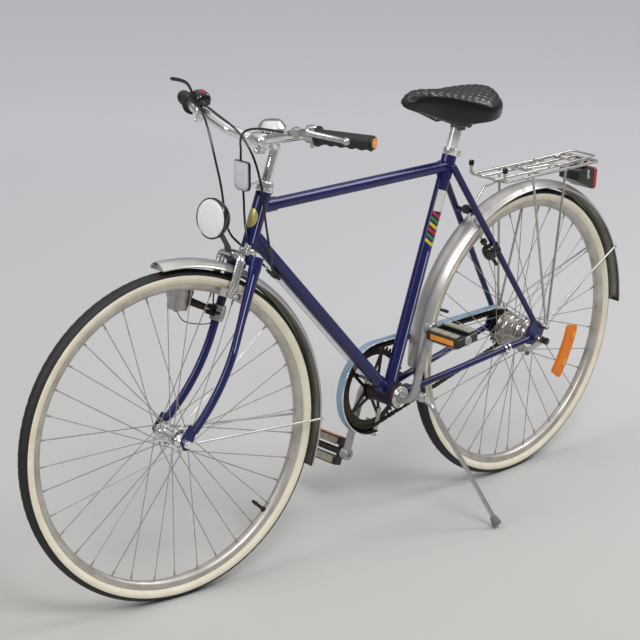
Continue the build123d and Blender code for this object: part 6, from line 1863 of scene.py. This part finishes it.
def small_fittings():
    """Seat collar with its bolt, the fitting at the stays' bridge and the bolts of the guard's stays."""
    shape = Shape()
    top = on_seat_tube(SEAT_TUBE_TOP)
    seat_along = (top - BRACKET).normalized()
    collar = [(12.8, 0.3), (16.6, 0.3), (17, 1.2), (17, 14), (16.2, 15), (12.8, 15)]
    shape.add(turned(collar, top, seat_along, 40))
    back = (seat_along * seat_along.x - X).normalized()
    ears = top + seat_along * 8 + back * 21
    for side in (1, -1):
        shape.add(soft_box(ears + Y * (side * 5), (12, 5, 13), back, Y, 2))
    shape.add(tube([ears - Y * 13, ears + Y * 13], 3.4, 12))
    bolt(shape, ears + Y * 8, Y, 5.4, 6, 0)
    shape.add(spun([(0, 0), (6, 0), (5.6, 3), (0, 4)], ears - Y * 8, -Y, 20))
    bridge = on_seat_stay(0.29, 1)
    bridge_middle = Vector((bridge.x, 0, bridge.z))
    shape.add(soft_box(bridge_middle + Vector((2, 4, 4)), (16, 22, 18), X, Y, 4), 1)
    shape.add(soft_box(bridge_middle + Vector((10, 10, 10)), (8, 10, 12), X, Y, 3), 1)
    tab = [bridge_middle + Vector(place) for place in ((6, 14, -6), (3, 16, -16), (-4, 17, -34))]
    shape.add(tube(rounded(tab, 8, 6), 6, 12, squash=0.25, side=(0, 1, 0)))
    bolt(shape, bridge_middle + Vector((6, 15, -4)), Y, 4, 5, 0)
    for side in (1, -1):
        stay_foot = Vector((-13, side * 67.7, 33))
        shape.add(tube([stay_foot - Y * (side * 2), stay_foot + Y * (side * 3.4)], 5.6, 16))
        bolt(shape, stay_foot + Y * (side * 2.6), Y * side, 4, 4, 0)
    piece_of("seat_collar", shape, "frame", ["chrome", "black_plastic"])


def brake_reaction_arm():
    """Arm of the rear hub's brake, with its clip round the left chain stay."""
    shape = Shape()
    low = 44.1
    halves = ((30, 8), (70, 7), (96, 7), (103, 4))
    outline = [(x, half - 8 * x / 98) for x, half in halves]
    outline += [(x, -half - 8 * x / 98) for x, half in reversed(halves)]
    shape.add(slab(outline, -low - 3, -low))
    ring = [(9.2, low), (12.6, low), (12.6, low + 3), (9.2, low + 3)]
    shape.add(turned(ring, REAR_HUB, Y, 32))
    root = BRACKET + Y * 22
    end = Vector((27, 62.5, 4.2))
    along = (end - root).normalized()
    share = (root.x - 98) / (root.x - end.x)
    middle = root + (end - root) * share
    for shift in (-6, 6):
        shape.add(turned([(7.6, -2.4), (9.2, -2.4), (9.2, 2.4), (7.6, 2.4)], middle + along * shift,
                         along, 28), 1)
    shape.add(soft_box(middle - Z * 12, (16, 6, 12), along, Y, 2), 1)
    bolt(shape, middle - Z * 13 + Y * 3, Y, 5, 5, 1)
    piece_of("reaction_arm", shape, "frame", ["worn_chrome", "chrome"], ["brake_arm"])


def bell_crank():
    """Gear's bell crank and cap nut at the left end of the rear axle."""
    tip = 77
    shape = Shape()
    shape.add(nut_of(REAR_HUB + Y * (tip - 0.5), Y, 8.8, 7), 2)
    shape.add(spun([(0, 7), (7.4, 7), (7.4, 12), (8.4, 13), (8.4, 19), (7, 20), (0, 20)],
                   REAR_HUB + Y * tip, Y, 28), 1)
    outline = [(-6, 7), (4, 8.4), (30, -2), (61, -15), (62, -20), (56, -26.5), (48, -25), (20, -12),
               (-4, -8.6)]
    shape.add(slab(outline, -tip - 6, -tip - 2.6))
    pivot = Vector((54, tip + 4.4, -19))
    shape.add(spun([(0, -4), (4.6, -4), (4.6, 3), (3.6, 4.2), (0, 4.6)], pivot, Y, 20), 1)
    piece_of("bell_crank", shape, "frame", ["alloy", "gloss_black", "brown_ring"],
             ["gear_arm"])


rack()
tail_lamp()
frame_lock()
small_fittings()
brake_reaction_arm()
bell_crank()


# Stand, saddle rails and spoke plate
def side_stand():
    """Bent alloy leg with a flattened foot."""
    root = Vector((374, 50, -62))
    axis = Vector((-0.45, 1, 0)).normalized()
    knee = Vector((374, 80, -77))
    foot = Vector((312, 241, -332))
    shape = Shape()
    boss = [(0, -8), (9.6, -8), (11, -6.4), (11, 6.4), (9.6, 8), (0, 8)]
    shape.add(spun(boss, root, axis, 32))
    along = (foot - knee).normalized()
    shape.add(tube(rounded([root, knee, foot - along * 16], 20, 10), 5.4, 20))
    pad = [(0, -24), (7, -24), (8.4, -20), (10, -12), (11.4, -7), (10, -3), (0, -2)]
    shape.add(spun(pad, foot - along * 6, along, 28), 1)
    bolt(shape, root + axis * 8, axis, 6, 5, 0)
    piece_of("stand_leg", shape, "stand", ["alloy", "worn_rubber"], ["side_stand"])


PLATE_BEND = 330
PLATE_ANGLE = radians(205)
PLATE_REACH = 188


def spoke_plate():
    """Orange reflector clipped between the spokes of the rear wheel."""
    out = radial(PLATE_ANGLE)
    along = radial(PLATE_ANGLE + pi / 2)
    centre = REAR_HUB + out * PLATE_REACH + Y * 19.1
    shape = Shape()
    shape.add(bowed_plate(centre, out, along, 19.5, 64, 2.5, 4))
    shape.add(bowed_plate(centre + Y * 2.6, out, along, 17, 60, 1.0, 3))
    for end in (-40, 26):
        angle = end / PLATE_BEND
        outward = out * cos(angle) + along * sin(angle)
        place = centre + (outward - out) * PLATE_BEND + outward * 6 + Y * 4.4
        shape.add(soft_box(place, (9, 18, 4), outward, outward.cross(Y), 1), 1)
    piece_of("spoke_plate", shape, "rear_wheel", ["orange_reflector", "orange_clip"],
             ["spoke_reflector"])


def bowed_plate(centre, out, along, half_deep, half_long, half_thick, corner):
    """Plate bent round the wheel's middle, with round corners."""
    rings = []
    steps = 24
    for step in range(steps + 1):
        reach = -half_long + 2 * half_long * step / steps
        angle = reach / PLATE_BEND
        near = max(0.0, abs(reach) - (half_long - corner))
        deep = half_deep - corner + sqrt(max(0.0, corner * corner - near * near))
        outward = (out * cos(angle) + along * sin(angle)) * deep
        middle = centre + (out * cos(angle) + along * sin(angle) - out) * PLATE_BEND
        side = Y * half_thick
        rings.append([middle + outward + side, middle - outward + side, middle - outward - side,
                      middle + outward - side])
    return joined_rings(rings)


side_stand()
spoke_plate()
